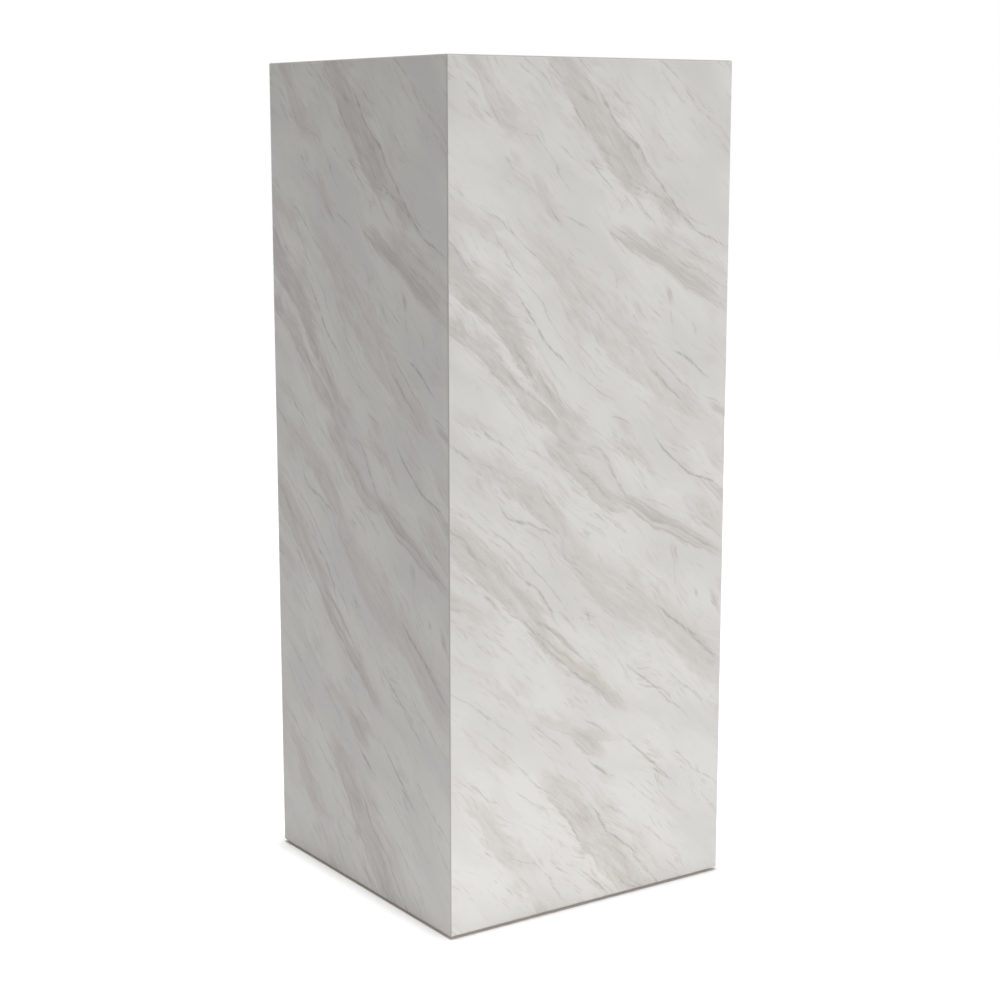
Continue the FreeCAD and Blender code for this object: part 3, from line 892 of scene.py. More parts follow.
    def _laid(self, pigment: Pigment) -> NodeTree:
        """Lays all strokes of a pigment.

        Args:
            pigment: Which strokes.

        Returns:
            A node group. The place along the veins goes in, and the place across them, once with
            frayed edges and once straight, all as shares of their spans. Out come how much of the
            pigment there is, how close the stroke's lower edge is, how near the stroke is, all from 0
            to 1, and how far the place is from the stroke's middle, in millimetres.
        """
        tree = bpy.data.node_groups.new(f"marble_{pigment.label}", "ShaderNodeTree")
        give_sockets(tree, "INPUT", "Float", "Along", "Across", "Straight")
        give_sockets(tree, "OUTPUT", "Float", *STROKE_READINGS)
        bench = Bench(tree)
        given = bench.add("NodeGroupInput")
        along, across, straight = (bench.wire(given, name) for name in ("Along", "Across", "Straight"))
        amounts: List[Wire] = []
        edges: List[Wire] = []
        nears: List[Wire] = []
        weights: List[Wire] = []
        offsets: List[Wire] = []
        for lane in self.lanes(pigment):
            settings = {"ramp_interpolation": "LINEAR", "stops": lane}
            told = bench.add("ShaderNodeValToRGB", settings, {0: along})
            parts = bench.add("ShaderNodeSeparateColor", {"mode": "RGB"}, {0: told.outputs[0]})
            middle, half, strength = (bench.wire(parts, index) for index in range(3))
            aside = (across - middle) / half
            away = abs(aside)
            if pigment.lined:
                below = aside.ramp(*self.lower_fade)
                amounts.append(below * aside.ramp(self.upper_end, -pigment.core, 0.0, strength))
                edges.append(abs(aside - self.rim).ramp(*self.rim_fade, 0.0, strength))
                nears.append(away.ramp(*self.near_fade, 0.0, strength))
                weights.append(nears[-1] ** self.nearest)
                offsets.append(weights[-1] * (straight - middle))
            else:
                amounts.append(away.ramp(1.0, pigment.core, 0.0, strength))
        outputs = {"Amount": reduce(Wire.largest, amounts)}
        if pigment.lined:
            outputs["Edge"] = reduce(Wire.largest, edges)
            outputs["Near"] = reduce(Wire.largest, nears)
            outputs["Offset"] = sum(offsets, 0.0) * self.span_across / sum(weights, NO_WEIGHT)
        bench.add("NodeGroupOutput", None, outputs)
        return tree

    def _strokes(
        self, bench: Bench, pigment: Pigment, along: Wire, across: Wire, straight: Wire
    ) -> List[Wire]:
        """Reads the strokes of a pigment at a place.

        Args:
            bench: The bench of the whole print.
            pigment: Which strokes.
            along: The place along the veins, as a share of its span.
            across: The place across them with frayed edges, as a share of its span.
            straight: The same without them.

        Returns:
            The amount, the closeness of the lower edge, the nearness, and the distance from the middle.
        """
        places = {"Along": along, "Across": across, "Straight": straight}
        node = bench.add("ShaderNodeGroup", {"node_tree": self._laid(pigment)}, places)
        return [bench.wire(node, name) for name in STROKE_READINGS]

    def group(self) -> NodeTree:
        """Builds the node group.

        Returns:
            The group: a place on the face in millimetres goes in, colour, roughness and height come out.
        """
        tree = bpy.data.node_groups.new("printed_marble", "ShaderNodeTree")
        give_sockets(tree, "INPUT", "Vector", "Place")
        give_sockets(tree, "OUTPUT", "Color", "Colour")
        give_sockets(tree, "OUTPUT", "Float", "Roughness", "Height")
        bench = Bench(tree)
        place = bench.add("NodeGroupInput").outputs["Place"]
        right, down, _ = bench.split(place)
        along, across = self.leant(right, down)
        flow = bench.vector(along, across)

        def noise(source: NodeSocket, scale: Pair, shift: Pair, detail: float, roughness: float) -> Wire:
            """Adds a noise stretched along the veins.

            Args:
                source: The place along and across the veins in millimetres.
                scale: How often it changes along and across, per millimetre.
                shift: Which part of the plane it is read at.
                detail: How many finer layers it has.
                roughness: How strong they are.

            Returns:
                The noise, from 0 to 1.
            """
            read = bench.stretched(source, (*scale, 1.0), (*shift, 0.0))
            return bench.noise(read, 1.0, detail, roughness, True)

        drift = noise(flow, (0.012, 0.02), (3.0, 9.0), 1.0, 0.5) - 0.5
        bent = bench.vector(along, across + drift * self.drift)
        sway = noise(flow, (0.03, 0.08), (0.0, 0.0), 2.0, 0.5) - 0.5
        fray = noise(bent, (0.045, 0.26), (7.0, 3.0), 4.0, 0.62) - 0.5
        streak = noise(bent, (0.02, 0.26), (31.0, 11.0), 4.0, 0.66)
        patch = noise(bent, (0.028, 0.07), (13.0, 61.0), 3.0, 0.55)
        cloud = noise(bent, (0.009, 0.022), (5.0, 47.0), 3.0, 0.5)
        grain = noise(bent, (0.09, 0.5), (17.0, 71.0), 3.0, 0.65)
        strand = noise(bent, (0.012, 0.085), (23.0, 29.0), 2.0, 0.4)
        fleck = noise(bent, (0.028, 0.17), (41.0, 53.0), 3.0, 0.55)
        crowding = noise(bent, (0.012, 0.03), (67.0, 19.0), 2.0, 0.5)
        tick = noise(bent, (0.04, 0.4), (91.0, 37.0), 2.0, 0.45)

        share_along, straight = self.shared(along, across + sway * self.sway)
        frayed = straight + fray * (self.fray / self.span_across)
        thin = straight + fray * (self.hair_fray / self.span_across)
        broad, narrow = (share_along, frayed, straight), (share_along, thin, straight)
        washes, edge, near, wash_offset = self._strokes(bench, Pigment.WASH, *broad)
        smokes, _, _, smoke_offset = self._strokes(bench, Pigment.SMOKE, *broad)
        pales = self._strokes(bench, Pigment.PALE, *broad)[0]
        stains = self._strokes(bench, Pigment.OCHRE, *broad)[0]
        hairs = self._strokes(bench, Pigment.HAIR, *narrow)[0]
        wash_run = bench.vector(along, wash_offset + fray * self.fibre_fray)
        smoke_run = bench.vector(along, smoke_offset + fray * self.fibre_fray)
        fibre = noise(wash_run, (0.013, 0.2), (3.0, 17.0), 4.0, 0.6)
        thread = noise(wash_run, (0.013, 0.19), (51.0, 7.0), 2.0, 0.5)
        smoke_fibre = noise(smoke_run, (0.012, 0.34), (9.0, 41.0), 3.0, 0.6)

        # the open ground, its flecks and its loose strands
        gap = near * near * fleck.ramp(0.5, 0.42) * patch.ramp(0.36, 0.6, 0.1, 0.6)
        crowd = crowding.ramp(0.47, 0.62, 0.0, 0.5).largest(near * 0.75)
        flecks = fleck.ramp(0.575, 0.63) * crowd * grain.ramp(0.36, 0.58, 0.25, 0.85)
        ticks = tick.ramp(0.64, 0.69) * crowd * grain.ramp(0.36, 0.5, 0.2, 0.8)
        loose = abs(strand - 0.5).ramp(0.035, 0.0) * patch.ramp(0.45, 0.65, 0.0, 0.2)
        base = bench.layered(
            self.ground,
            (cloud.ramp(0.40, 0.64), self.ground_pale),
            (cloud.ramp(0.48, 0.30, 0.0, 0.6), self.ground_grey),
            (near * patch.ramp(0.38, 0.62, 0.0, 0.4), self.blush),
            (streak.ramp(0.52, 0.8, 0.0, 0.12), self.blush),
            (gap, self.ground_white),
            (flecks, self.wash),
            (ticks, self.smoke),
            (loose * grain.ramp(0.35, 0.6, 0.2, 1.0), self.smoke),
        )

        # the strokes, with the fibres, lines and rims of the broad ones
        body = washes * fibre.ramp(0.32, 0.62, 0.52, 0.86) * patch.ramp(0.28, 0.52, 0.65, 1.0)
        lined = abs(thread - 0.5).ramp(0.035, 0.004) * washes.largest(near * near * 0.6)
        rim = edge * fibre.ramp(0.38, 0.56, 0.1, 1.0) * grain.ramp(0.34, 0.6, 0.1, 1.0)
        base = bench.layered(
            base,
            (pales * streak.ramp(0.3, 0.65, 0.2, 0.75), self.ground_white),
            (body, self.wash),
            (lined * grain.ramp(0.34, 0.6) * 0.42, self.smoke),
            (rim * 0.5, self.smoke),
            (smokes * smoke_fibre.ramp(0.32, 0.6, 0.25, 0.95), self.smoke),
            (stains * grain.ramp(0.3, 0.65, 0.2, 0.55), self.ochre),
            (hairs * grain.ramp(0.32, 0.62, 0.2, 0.7), self.hair),
        )

        film = bench.noise(bench.stretched(place, (0.02, 0.02, 1.0)), 1.0, 3.0, 0.6, True)
        roughness = film.ramp(0.3, 0.7, *self.gloss, False)
        pebble = bench.noise(place, 0.55, 2.0, 0.5, True)
        bench.add("NodeGroupOutput", None, {"Colour": base, "Roughness": roughness, "Height": pebble})
        return tree


# ---------------------------------------------------------------- finishes


@dataclass(frozen=True)
class MarbleLaminate:
    """Satin laminate with the marble print. A thin darker line is painted along the arrises in its core
    colour: partly the laminate's core, partly painted shade on the chamfers.

    Attributes:
        width: The column's width in millimetres.
        height: Its height.
        arris: The width of the chamfer on its edges.
        cut_fade: Where the darker arris line, core colour and painted shade, begins to show and where it
            is full, in arris widths.
        core: The colour of the laminate's core, painted along the arrises, where it also stands for the
            shade on the chamfers.
        core_dullness: How much rougher the core is.
        top_cut: How far down the print the top's piece was cut.
    """

    width: float = 305.0
    height: float = 762.0
    arris: float = 0.8
    cut_fade: Pair = (1.15, 0.95)
    # painted shade: this core colour on the arrises also stands in for the shade that falls on the
    # chamfers
    core: Colour = colour(186, 182, 177)
    core_dullness: float = 0.2
    top_cut: float = 318.0

    def build(self, marble: NodeTree, side: Optional[Side] = None) -> Material:
        """Makes the laminate of one face, which reads the print from its own upper left corner.

        Args:
            marble: The print's node group.
            side: Which upright side, or none for the top, which shows another part of the print.

        Returns:
            The material.
        """
        coat = Coat(f"{Slot.MARBLE.value}_{side.label if side else 'top'}")
        x, y, z = coat.split(coat.place())
        half = self.width / 2
        if side:
            run = (x if side.axis == "X" else y) * float(side.sign)
            down = self.height - z
            inward = (half - abs(run)).smallest(down)
        else:
            run = x
            down = half + self.top_cut - y
            inward = half - abs(x).largest(abs(y))
        place = coat.vector(run + half, down)
        printed = coat.add("ShaderNodeGroup", {"node_tree": marble}, {"Place": place})
        # cut is the darker line along the arrises, in the core colour: partly the laminate's core, partly
        # painted shade on the chamfers
        cut = inward.ramp(*(self.arris * share for share in self.cut_fade))
        roughness = coat.wire(printed, "Roughness") + cut * self.core_dullness
        return coat.finished(
            {
                "Base Color": coat.blended(cut, printed.outputs["Colour"], self.core),
                "Roughness": roughness.smallest(1.0),
                "Normal": coat.bump(printed.outputs["Height"], 0.12, 0.05),
                "IOR": 1.47,
                "Specular IOR Level": 0.42,
            }
        )


class Grain(Enum):
    """Which way a board's or batten's fibres run, with the scale of a place that makes them so."""

    ALONG_X = (0.08, 1.0, 1.0)
    ALONG_Y = (1.0, 0.08, 1.0)
    UPRIGHT = (1.0, 1.0, 0.08)


@dataclass(frozen=True)
class Fibreboard:
    """Raw medium density fibreboard: pressed fibres with darker flecks."""

    light: Colour = colour(186, 157, 121)
    dark: Colour = colour(151, 120, 86)
    fleck: Colour = colour(98, 74, 52)

    def build(self) -> Material:
        """Makes the material.

        Returns:
            The material.
        """
        coat = Coat(Slot.FIBREBOARD.value)
        place = coat.place()
        felted = coat.noise(place, 0.9, 5.0, 0.7)
        mottled = coat.noise(place, 0.045, 3.0, 0.55)
        flecks = coat.noise(coat.stretched(place, (0.5, 1.6, 0.9)), 1.3, 2.0, 0.5)
        skin = coat.layered(
            self.dark,
            (felted.ramp(0.3, 0.7), self.light),
            (mottled.ramp(0.4, 0.7, 0.0, 0.35), self.dark),
            (flecks.ramp(0.66, 0.74, 0.0, 0.7), self.fleck),
        )
        roughness = felted.ramp(0.3, 0.7, 0.9, 0.78)
        bump = coat.bump(felted, 0.35, 0.08)
        return coat.finished({"Base Color": skin, "Roughness": roughness, "Normal": bump})


@dataclass(frozen=True)
class SawnWood:
    """Planed softwood or beech: growth rings, fibres and pores that run with the grain.

    Attributes:
        slot: The slot that it is named after.
        early: The colour of the pale early wood.
        late: The colour of the dark late wood.
        pore: The colour of pores and rays.
        ring: The width of a year's ring in millimetres.
        contrast: How clearly the rings show.
        waviness: How far the rings wander in millimetres.
    """

    slot: Slot
    early: Colour
    late: Colour
    pore: Colour
    ring: float
    contrast: float
    waviness: float = 14.0

    def build(self, grain: Grain) -> Material:
        """Makes the material.

        Args:
            grain: Which way the fibres run.

        Returns:
            The material.
        """
        coat = Coat(f"{self.slot.value}_{grain.name.lower()}")
        place = coat.place(grain.value)
        x, y, z = coat.split(coat.stretched(place, UNSTRETCHED, (37.0, 61.0, 23.0)))
        bend = coat.noise(place, 0.035, 2.0, 0.5)
        across = {Grain.ALONG_X: (y, z), Grain.ALONG_Y: (x, z), Grain.UPRIGHT: (x, y)}[grain]
        pith = (across[0] * across[0] + across[1] * across[1]) ** 0.5
        year = ((pith + bend * self.waviness) / self.ring).fraction()
        ring = year.ramp(0.25, 0.9) * year.ramp(1.0, 0.93)
        fibre = coat.noise(coat.stretched(place, UNSTRETCHED, (5.0, 9.0, 2.0)), 1.4, 4.0, 0.65)
        pores = coat.noise(place, 3.1, 1.0, 0.5)
        skin = coat.layered(
            self.early,
            (ring * self.contrast, self.late),
            (fibre.ramp(0.35, 0.75, 0.0, 0.4), self.late),
            (pores.ramp(0.66, 0.72, 0.0, 0.7), self.pore),
        )
        roughness = fibre.ramp(0.3, 0.7, 0.72, 0.6)
        bump = coat.bump(fibre * 0.7 + ring * 0.3, 0.3, 0.08)
        return coat.finished({"Base Color": skin, "Roughness": roughness, "Normal": bump})


@dataclass(frozen=True)
class Plywood:
    """Birch plywood: its plies lie flat and alternate in colour at the cut edges.

    Attributes:
        ply: The thickness of a ply in millimetres.
        ripple: How far the plies wander up and down.
        face: The colour of the face.
        cross_ply: The colour of every other ply.
        glue: The colour of the glue between them.
    """

    ply: float = 1.35
    ripple: float = 0.3
    face: Colour = colour(214, 187, 148)
    cross_ply: Colour = colour(170, 133, 94)
    glue: Colour = colour(104, 74, 50)

    def build(self) -> Material:
        """Makes the material.

        Returns:
            The material.
        """
        coat = Coat(Slot.PLYWOOD.value)
        place = coat.place()
        _, _, z = coat.split(place)
        ripple = coat.noise(coat.stretched(place, (0.02, 0.02, 0.4)), 1.0, 2.0, 0.5)
        layer = ((z + ripple * self.ripple) / (self.ply * 2)).fraction()
        crossing = layer.ramp(0.48, 0.52) * layer.ramp(1.0, 0.96)
        figure = coat.noise(coat.stretched(place, (0.012, 0.22, 0.5)), 1.0, 4.0, 0.6)
        fibre = coat.noise(coat.stretched(place, (0.12, 1.9, 1.9)), 1.0, 3.0, 0.6)
        skin = coat.layered(
            self.face,
            (figure.ramp(0.35, 0.7, 0.0, 0.55), self.cross_ply),
            (fibre.ramp(0.45, 0.75, 0.0, 0.45), self.cross_ply),
            (crossing * 0.55, self.cross_ply),
            (abs(layer - 0.5).ramp(0.035, 0.01) * 0.8, self.glue),
        )
        roughness = fibre.ramp(0.3, 0.7, 0.7, 0.58)
        bump = coat.bump(fibre, 0.25, 0.06)
        return coat.finished({"Base Color": skin, "Roughness": roughness, "Normal": bump})


@dataclass(frozen=True)
class ZincPlate:
    """Zinc plated steel with a passivated tint, cloudy where the bath ran off.

    Attributes:
        slot: The slot that it is named after.
        sheen: The main colour.
        tint: The colour of the clouds.
        stain: The colour of dull spots.
    """

    slot: Slot
    sheen: Colour
    tint: Colour
    stain: Colour

    def build(self) -> Material:
        """Makes the material.

        Returns:
            The material.
        """
        coat = Coat(self.slot.value)
        place = coat.place()
        cloud = coat.noise(place, 0.35, 3.0, 0.6)
        spots = coat.noise(place, 2.2, 3.0, 0.6)
        scratches = coat.noise(coat.stretched(place, (0.6, 0.6, 6.0)), 1.5, 2.0, 0.5)
        skin = coat.layered(
            self.sheen,
            (cloud.ramp(0.35, 0.7), self.tint),
            (spots.ramp(0.62, 0.8, 0.0, 0.5), self.stain),
        )
        rough = cloud.ramp(0.3, 0.7, 0.24, 0.4) + spots.ramp(0.6, 0.8, 0.0, 0.18)
        bump = coat.bump(scratches, 0.15, 0.02)
        return coat.finished({"Base Color": skin, "Metallic": 1.0, "Roughness": rough, "Normal": bump})


@dataclass(frozen=True)
class MouldedPlastic:
    """Black moulded plastic with a fine grain, scuffed pale in places."""

    body: Colour = colour(33, 33, 35)
    scuff: Colour = colour(74, 74, 76)

    def build(self) -> Material:
        """Makes the material.

        Returns:
            The material.
        """
        coat = Coat(Slot.PLASTIC.value)
        place = coat.place()
        pebbles = coat.noise(place, 2.4, 2.0, 0.5)
        scuffs = coat.noise(coat.stretched(place, (0.3, 0.3, 1.6)), 1.0, 4.0, 0.7)
        skin = coat.blended(scuffs.ramp(0.6, 0.82, 0.0, 0.5), self.body, self.scuff)
        rough = pebbles.ramp(0.3, 0.7, 0.42, 0.56) + scuffs.ramp(0.6, 0.8, 0.0, 0.15)
        bump = coat.bump(pebbles, 0.3, 0.04)
        return coat.finished({"Base Color": skin, "Roughness": rough, "Normal": bump})


@dataclass(frozen=True)
class PressedFelt:
    """Grey pressed felt with loose fibres."""

    wool: Colour = colour(92, 91, 90)
    shade: Colour = colour(48, 48, 49)
    lint: Colour = colour(158, 156, 153)
    sheen: float = 0.3

    def build(self) -> Material:
        """Makes the material.

        Returns:
            The material.
        """
        coat = Coat(Slot.FELT.value)
        place = coat.place()
        tufts = coat.noise(place, 1.6, 5.0, 0.75)
        fibres = coat.noise(coat.stretched(place, (4.0, 0.7, 2.0)), 1.0, 3.0, 0.6)
        crossed = coat.noise(coat.stretched(place, (0.7, 4.0, 2.0), (9.0, 3.0, 1.0)), 1.0, 3.0, 0.6)
        lint = fibres.largest(crossed).ramp(0.64, 0.76, 0.0, 0.7)
        skin = coat.layered(self.shade, (tufts.ramp(0.3, 0.7), self.wool), (lint, self.lint))
        return coat.finished(
            {
                "Base Color": skin,
                "Roughness": tufts.ramp(0.3, 0.7, 1.0, 0.9),
                "Normal": coat.bump(tufts + lint * 0.5, 0.7, 0.2),
                "Sheen Weight": self.sheen,
            }
        )


SOFTWOOD = SawnWood(
    Slot.SOFTWOOD, colour(222, 190, 142), colour(184, 139, 88), colour(139, 98, 58), 3.4, 0.75
)
BEECH = SawnWood(
    Slot.BEECH, colour(205, 163, 124), colour(182, 136, 98), colour(132, 88, 58), 2.2, 0.3
)
YELLOW_ZINC = ZincPlate(
    Slot.YELLOW_ZINC, colour(222, 191, 116), colour(196, 172, 132), colour(146, 118, 74)
)
BRIGHT_ZINC = ZincPlate(
    Slot.BRIGHT_ZINC, colour(206, 210, 214), colour(186, 193, 205), colour(138, 141, 145)
)


def dress(frame: Frame, material: Material, *nodes: str) -> None:
    """Gives nodes of the frame their finish.

    Args:
        frame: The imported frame.
        material: The finish.
        nodes: The nodes' names.
    """
    for node in nodes:
        piece = frame["nodes"][node]
        if not piece.material_slots:
            piece.data.materials.append(material)
        for slot in piece.material_slots:
            slot.material = material
        log.info("%s wears %s", node, material.name)


# ---------------------------------------------------------------- sub-assemblies


@dataclass
class MarbleShell:
    """The marble-effect laminate on the four sides and on the top."""

    finish: MarbleLaminate = field(default_factory=MarbleLaminate)
    marble: PrintedMarble = field(default_factory=PrintedMarble)

    def build(self, frame: Frame) -> None:
        """Dresses the laminate nodes.

        Args:
            frame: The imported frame.
        """
        group = self.marble.group()
        for side in Side:
            dress(frame, self.finish.build(group, side), f"{side.label}_marble_laminate")
        dress(frame, self.finish.build(group), "top_marble_laminate")


@dataclass
class Carcass:
    """The boards, battens, biscuits, shelf and base panel behind the laminate, and their screws."""

    fibreboard: Fibreboard = field(default_factory=Fibreboard)
    plywood: Plywood = field(default_factory=Plywood)

    def build(self, frame: Frame) -> None:
        """Dresses the nodes of the carcass.

        Args:
            frame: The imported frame.
        """
        walls = [f"{side.label}_wall_board" for side in Side]
        dress(frame, self.fibreboard.build(), *walls, "top_board", "base_panel")
        uprights = [f"{corner.label}_upright_batten" for corner in Corner]
        dress(frame, SOFTWOOD.build(Grain.UPRIGHT), *uprights)
        lying = {"X": SOFTWOOD.build(Grain.ALONG_X), "Y": SOFTWOOD.build(Grain.ALONG_Y)}
        for side in Side:
            dress(frame, lying[side.axis], f"{side.label}_base_batten", f"{side.label}_top_batten")
        dress(frame, lying["Y"], "left_shelf_batten", "right_shelf_batten")
        dress(frame, BEECH.build(Grain.UPRIGHT), "upright_mitre_biscuits")
        dress(frame, BEECH.build(Grain.ALONG_X), "top_mitre_biscuits")
        dress(frame, self.plywood.build(), "stiffening_shelf")
        dress(frame, YELLOW_ZINC.build(), "base_screws", "shelf_screws")


def lathed(profile: Sequence[Pair], segments: int, turn: float = 0.0) -> bmesh.types.BMesh:
    """Turns a profile round the Z axis.

    Args:
        profile: Radius and height of each point in metres, from the bottom to the top.
        segments: How many flats go round.
        turn: The angle of the first edge in radians.

    Returns:
        A closed mesh.
    """
    body = bmesh.new()
    rings = []
    for radius, height in profile:
        ring = []
        for index in range(segments):
            angle = turn + 2 * math.pi * index / segments
            ring.append(body.verts.new((radius * math.cos(angle), radius * math.sin(angle), height)))
        rings.append(ring)
    for lower, upper in zip(rings, rings[1:]):
        for index in range(segments):
            after = (index + 1) % segments
            body.faces.new((lower[index], lower[after], upper[after], upper[index]))
    body.faces.new(list(reversed(rings[0])))
    body.faces.new(rings[-1])
    bmesh.ops.recalc_face_normals(body, faces=body.faces)
    return body


DISC_SEGMENTS = 64  # round the stud's disc and neck
HEXAGON_SIDES = 6
THREAD_VERTICES = 40  # round the thread
STEPS_PER_TURN = 8  # up the thread
THREAD_FLANK = (0.12, 0.88)  # where it leaves the crest and meets the root, in half turns
LOWER_RUNOUT = 1.2  # turns over which the thread begins
UPPER_RUNOUT = 1.4  # turns over which it ends
WHOLE_TURNS = 100.0  # added to a count of turns, so that it is never negative
SHARP_FROM = 32.0  # degrees between two faces, from which their edge is sharp


@dataclass
class LevellingGlide:
    """One levelling glide: a felt sole, a moulded foot and a threaded stud that turns in it.

    Sizes are in millimetres, heights above the floor.

    Attributes:
        corner: Which corner it stands in.
        centre: Its distance from the middle, along X and along Y.
        disc_radius: The stud's disc, which turns in the foot.
        disc_bottom: Its underside.
        disc_top: Its upper face.
        neck_radius: The neck between the disc and the hexagon.
        hex_flats: The hexagon's width across its flats.
        hex_bottom: Its underside.
        hex_top: Its upper face.
        thread_radius: The thread's crests.
        core_radius: The thread's roots.
        pitch: How far a turn goes.
        thread_length: How long the thread is.
        edge: The chamfer on the disc and the hexagon.
    """

    corner: Corner
    centre: float = 100.5
    disc_radius: float = 8.0
    disc_bottom: float = 3.95
    disc_top: float = 5.95
    neck_radius: float = 3.6
    hex_flats: float = 13.0
    hex_bottom: float = 8.6
    hex_top: float = 12.6
    thread_radius: float = 4.0
    core_radius: float = 3.35
    pitch: float = 1.25
    thread_length: float = 26.0
    edge: float = 0.3

    def _shank(self) -> Mesh:
        """Makes the disc, the neck and the hexagon.

        Returns:
            One mesh of the three, on the Z axis.
        """
        edge = self.edge
        half_side = math.pi / HEXAGON_SIDES
        corner_radius = self.hex_flats / 2 / math.cos(half_side)
        disc = [
            (self.disc_radius - edge, self.disc_bottom),
            (self.disc_radius, self.disc_bottom + edge),
            (self.disc_radius, self.disc_top - edge),
            (self.disc_radius - edge, self.disc_top),
            (self.neck_radius + edge, self.disc_top),
            (self.neck_radius, self.disc_top + edge),
            (self.neck_radius, self.hex_bottom + edge),
        ]
        nut = [
            (corner_radius - 2 * edge, self.hex_bottom),
            (corner_radius, self.hex_bottom + edge),
            (corner_radius, self.hex_top - edge),
            (corner_radius - 2 * edge, self.hex_top),
        ]
        mesh = bpy.data.meshes.new("shank")
        whole = bmesh.new()
        for profile, segments, turn in ((disc, DISC_SEGMENTS, 0.0), (nut, HEXAGON_SIDES, half_side)):
            part = lathed([(radius * MM, height * MM) for radius, height in profile], segments, turn)
            part.to_mesh(mesh)
            part.free()
            whole.from_mesh(mesh)
        whole.to_mesh(mesh)
        whole.free()
        return mesh

    @staticmethod
    def thread_tree() -> NodeTree:
        """Builds the Geometry Nodes tree that cuts a thread on top of the shank it is given.

        Returns:
            The tree, with inputs for the thread's sizes, its place and its finish.
        """
        tree = bpy.data.node_groups.new("stud_thread", "GeometryNodeTree")
        give_sockets(tree, "INPUT", "Geometry", "Geometry")
        sizes = ("Crest Radius", "Root Radius", "Pitch", "Length", "Start Height")
        give_sockets(tree, "INPUT", "Float", *sizes)
        give_sockets(tree, "INPUT", "Int", "Steps")
        give_sockets(tree, "INPUT", "Vector", "Centre")
        give_sockets(tree, "INPUT", "Material", "Finish")
        give_sockets(tree, "OUTPUT", "Geometry", "Geometry")
        bench = Bench(tree)
        given = bench.add("NodeGroupInput")
        crest, root, pitch, length, start = (bench.wire(given, name) for name in sizes)
        rod_sizes = {
            "Vertices": THREAD_VERTICES,
            "Side Segments": given.outputs["Steps"],
            "Fill Segments": 1,
            "Radius": crest,
            "Depth": length,
        }
        rod = bench.add("GeometryNodeMeshCylinder", {"fill_type": "TRIANGLE_FAN"}, rod_sizes)
        x, y, z = bench.split(bench.add("GeometryNodeInputPosition").outputs[0])
        height = z + length / 2
        angle = y.bearing(x) / (2 * math.pi)
        turn = (height / pitch - angle + WHOLE_TURNS).fraction()
        flank = abs(turn * 2.0 - 1.0).ramp(*THREAD_FLANK, 1.0, 0.0, False)
        runout = (height / pitch).ramp(0.0, LOWER_RUNOUT)
        runout = runout * ((length - height) / pitch).ramp(0.0, UPPER_RUNOUT)
        share = (root + (crest - root) * flank * runout) / crest
        cut = bench.vector(x * share, y * share, z)
        shaped = {"Geometry": rod.outputs["Mesh"], "Position": cut}
        threaded = bench.add("GeometryNodeSetPosition", None, shaped)
        lifted = {
            "Geometry": threaded.outputs[0],
            "Translation": bench.vector(0.0, 0.0, start + length / 2),
        }
        raised = bench.add("GeometryNodeTransform", None, lifted)
        joined = bench.add("GeometryNodeJoinGeometry")
        tree.links.new(raised.outputs[0], joined.inputs[0])
        tree.links.new(given.outputs["Geometry"], joined.inputs[0])
        placed = {"Geometry": joined.outputs[0], "Translation": given.outputs["Centre"]}
        moved = bench.add("GeometryNodeTransform", None, placed)
        real = bench.add("GeometryNodeRealizeInstances", None, {"Geometry": moved.outputs[0]})
        finish = {"Geometry": real.outputs[0], "Material": given.outputs["Finish"]}
        finished = bench.add("GeometryNodeSetMaterial", None, finish)
        bench.add("NodeGroupOutput", None, {"Geometry": finished.outputs[0]})
        return tree

    def _stud(self, tree: NodeTree, finish: Material) -> bpy.types.Object:
        """Makes the stud with its thread.

        Args:
            tree: The thread's tree.
            finish: The stud's finish.

        Returns:
            The stud, in place.
        """
        name = f"{self.corner.label}_threaded_stud"
        blank = bpy.data.objects.new(name + "_blank", self._shank())
        bpy.context.scene.collection.objects.link(blank)
        modifier = blank.modifiers.new("thread", "NODES")
        modifier.node_group = tree
        across, along = self.corner.place
        values = {
            "Crest Radius": self.thread_radius * MM,
            "Root Radius": self.core_radius * MM,
            "Pitch": self.pitch * MM,
            "Length": self.thread_length * MM,
            "Start Height": self.hex_top * MM,
            "Steps": round(self.thread_length / self.pitch * STEPS_PER_TURN),
            "Centre": (across * self.centre * MM, along * self.centre * MM, 0.0),
            "Finish": finish,
        }
        for socket in tree.interface.items_tree:
            if socket.in_out == "INPUT" and socket.name in values:
                modifier[socket.identifier] = values[socket.name]
        bpy.context.view_layer.update()
        graph = bpy.context.evaluated_depsgraph_get()
        mesh = bpy.data.meshes.new_from_object(blank.evaluated_get(graph))
        bpy.data.objects.remove(blank)
        mesh.shade_smooth()
        mesh.set_sharp_from_angle(angle=math.radians(SHARP_FROM))
        stud = bpy.data.objects.new(name, mesh)
        bpy.context.scene.collection.objects.link(stud)
        return stud

    def build(
        self,
        frame: Frame,
        tree: NodeTree,
        steel: Material,
        plastic: Material,
        felt: Material,
    ) -> None:
        """Builds the stud and dresses the foot and the sole.

        Args:
            frame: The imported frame.
            tree: The thread's tree.
            steel: The stud's finish.
            plastic: The foot's finish.
            felt: The sole's finish.
        """
        stud = self._stud(tree, steel)
        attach(stud, f"{self.corner.label}_stud")
        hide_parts(f"{self.corner.label}_glide_stud")
        log.info("%s has %d faces", stud.name, len(stud.data.polygons))
        dress(frame, plastic, f"{self.corner.label}_glide_foot")
        dress(frame, felt, f"{self.corner.label}_glide_sole")


@dataclass
class GlideSet:
    """The four levelling glides and the pronged nuts that they screw into."""

    def build(self, frame: Frame) -> None:
        """Builds the glides.

        Args:
            frame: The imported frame.
        """
        steel = BRIGHT_ZINC.build()
        plastic = MouldedPlastic().build()
        felt = PressedFelt().build()
        tree = LevellingGlide.thread_tree()
        for corner in Corner:
            LevellingGlide(corner).build(frame, tree, steel, plastic, felt)
        dress(frame, steel, "pronged_nuts")


# ---------------------------------------------------------------- the studio


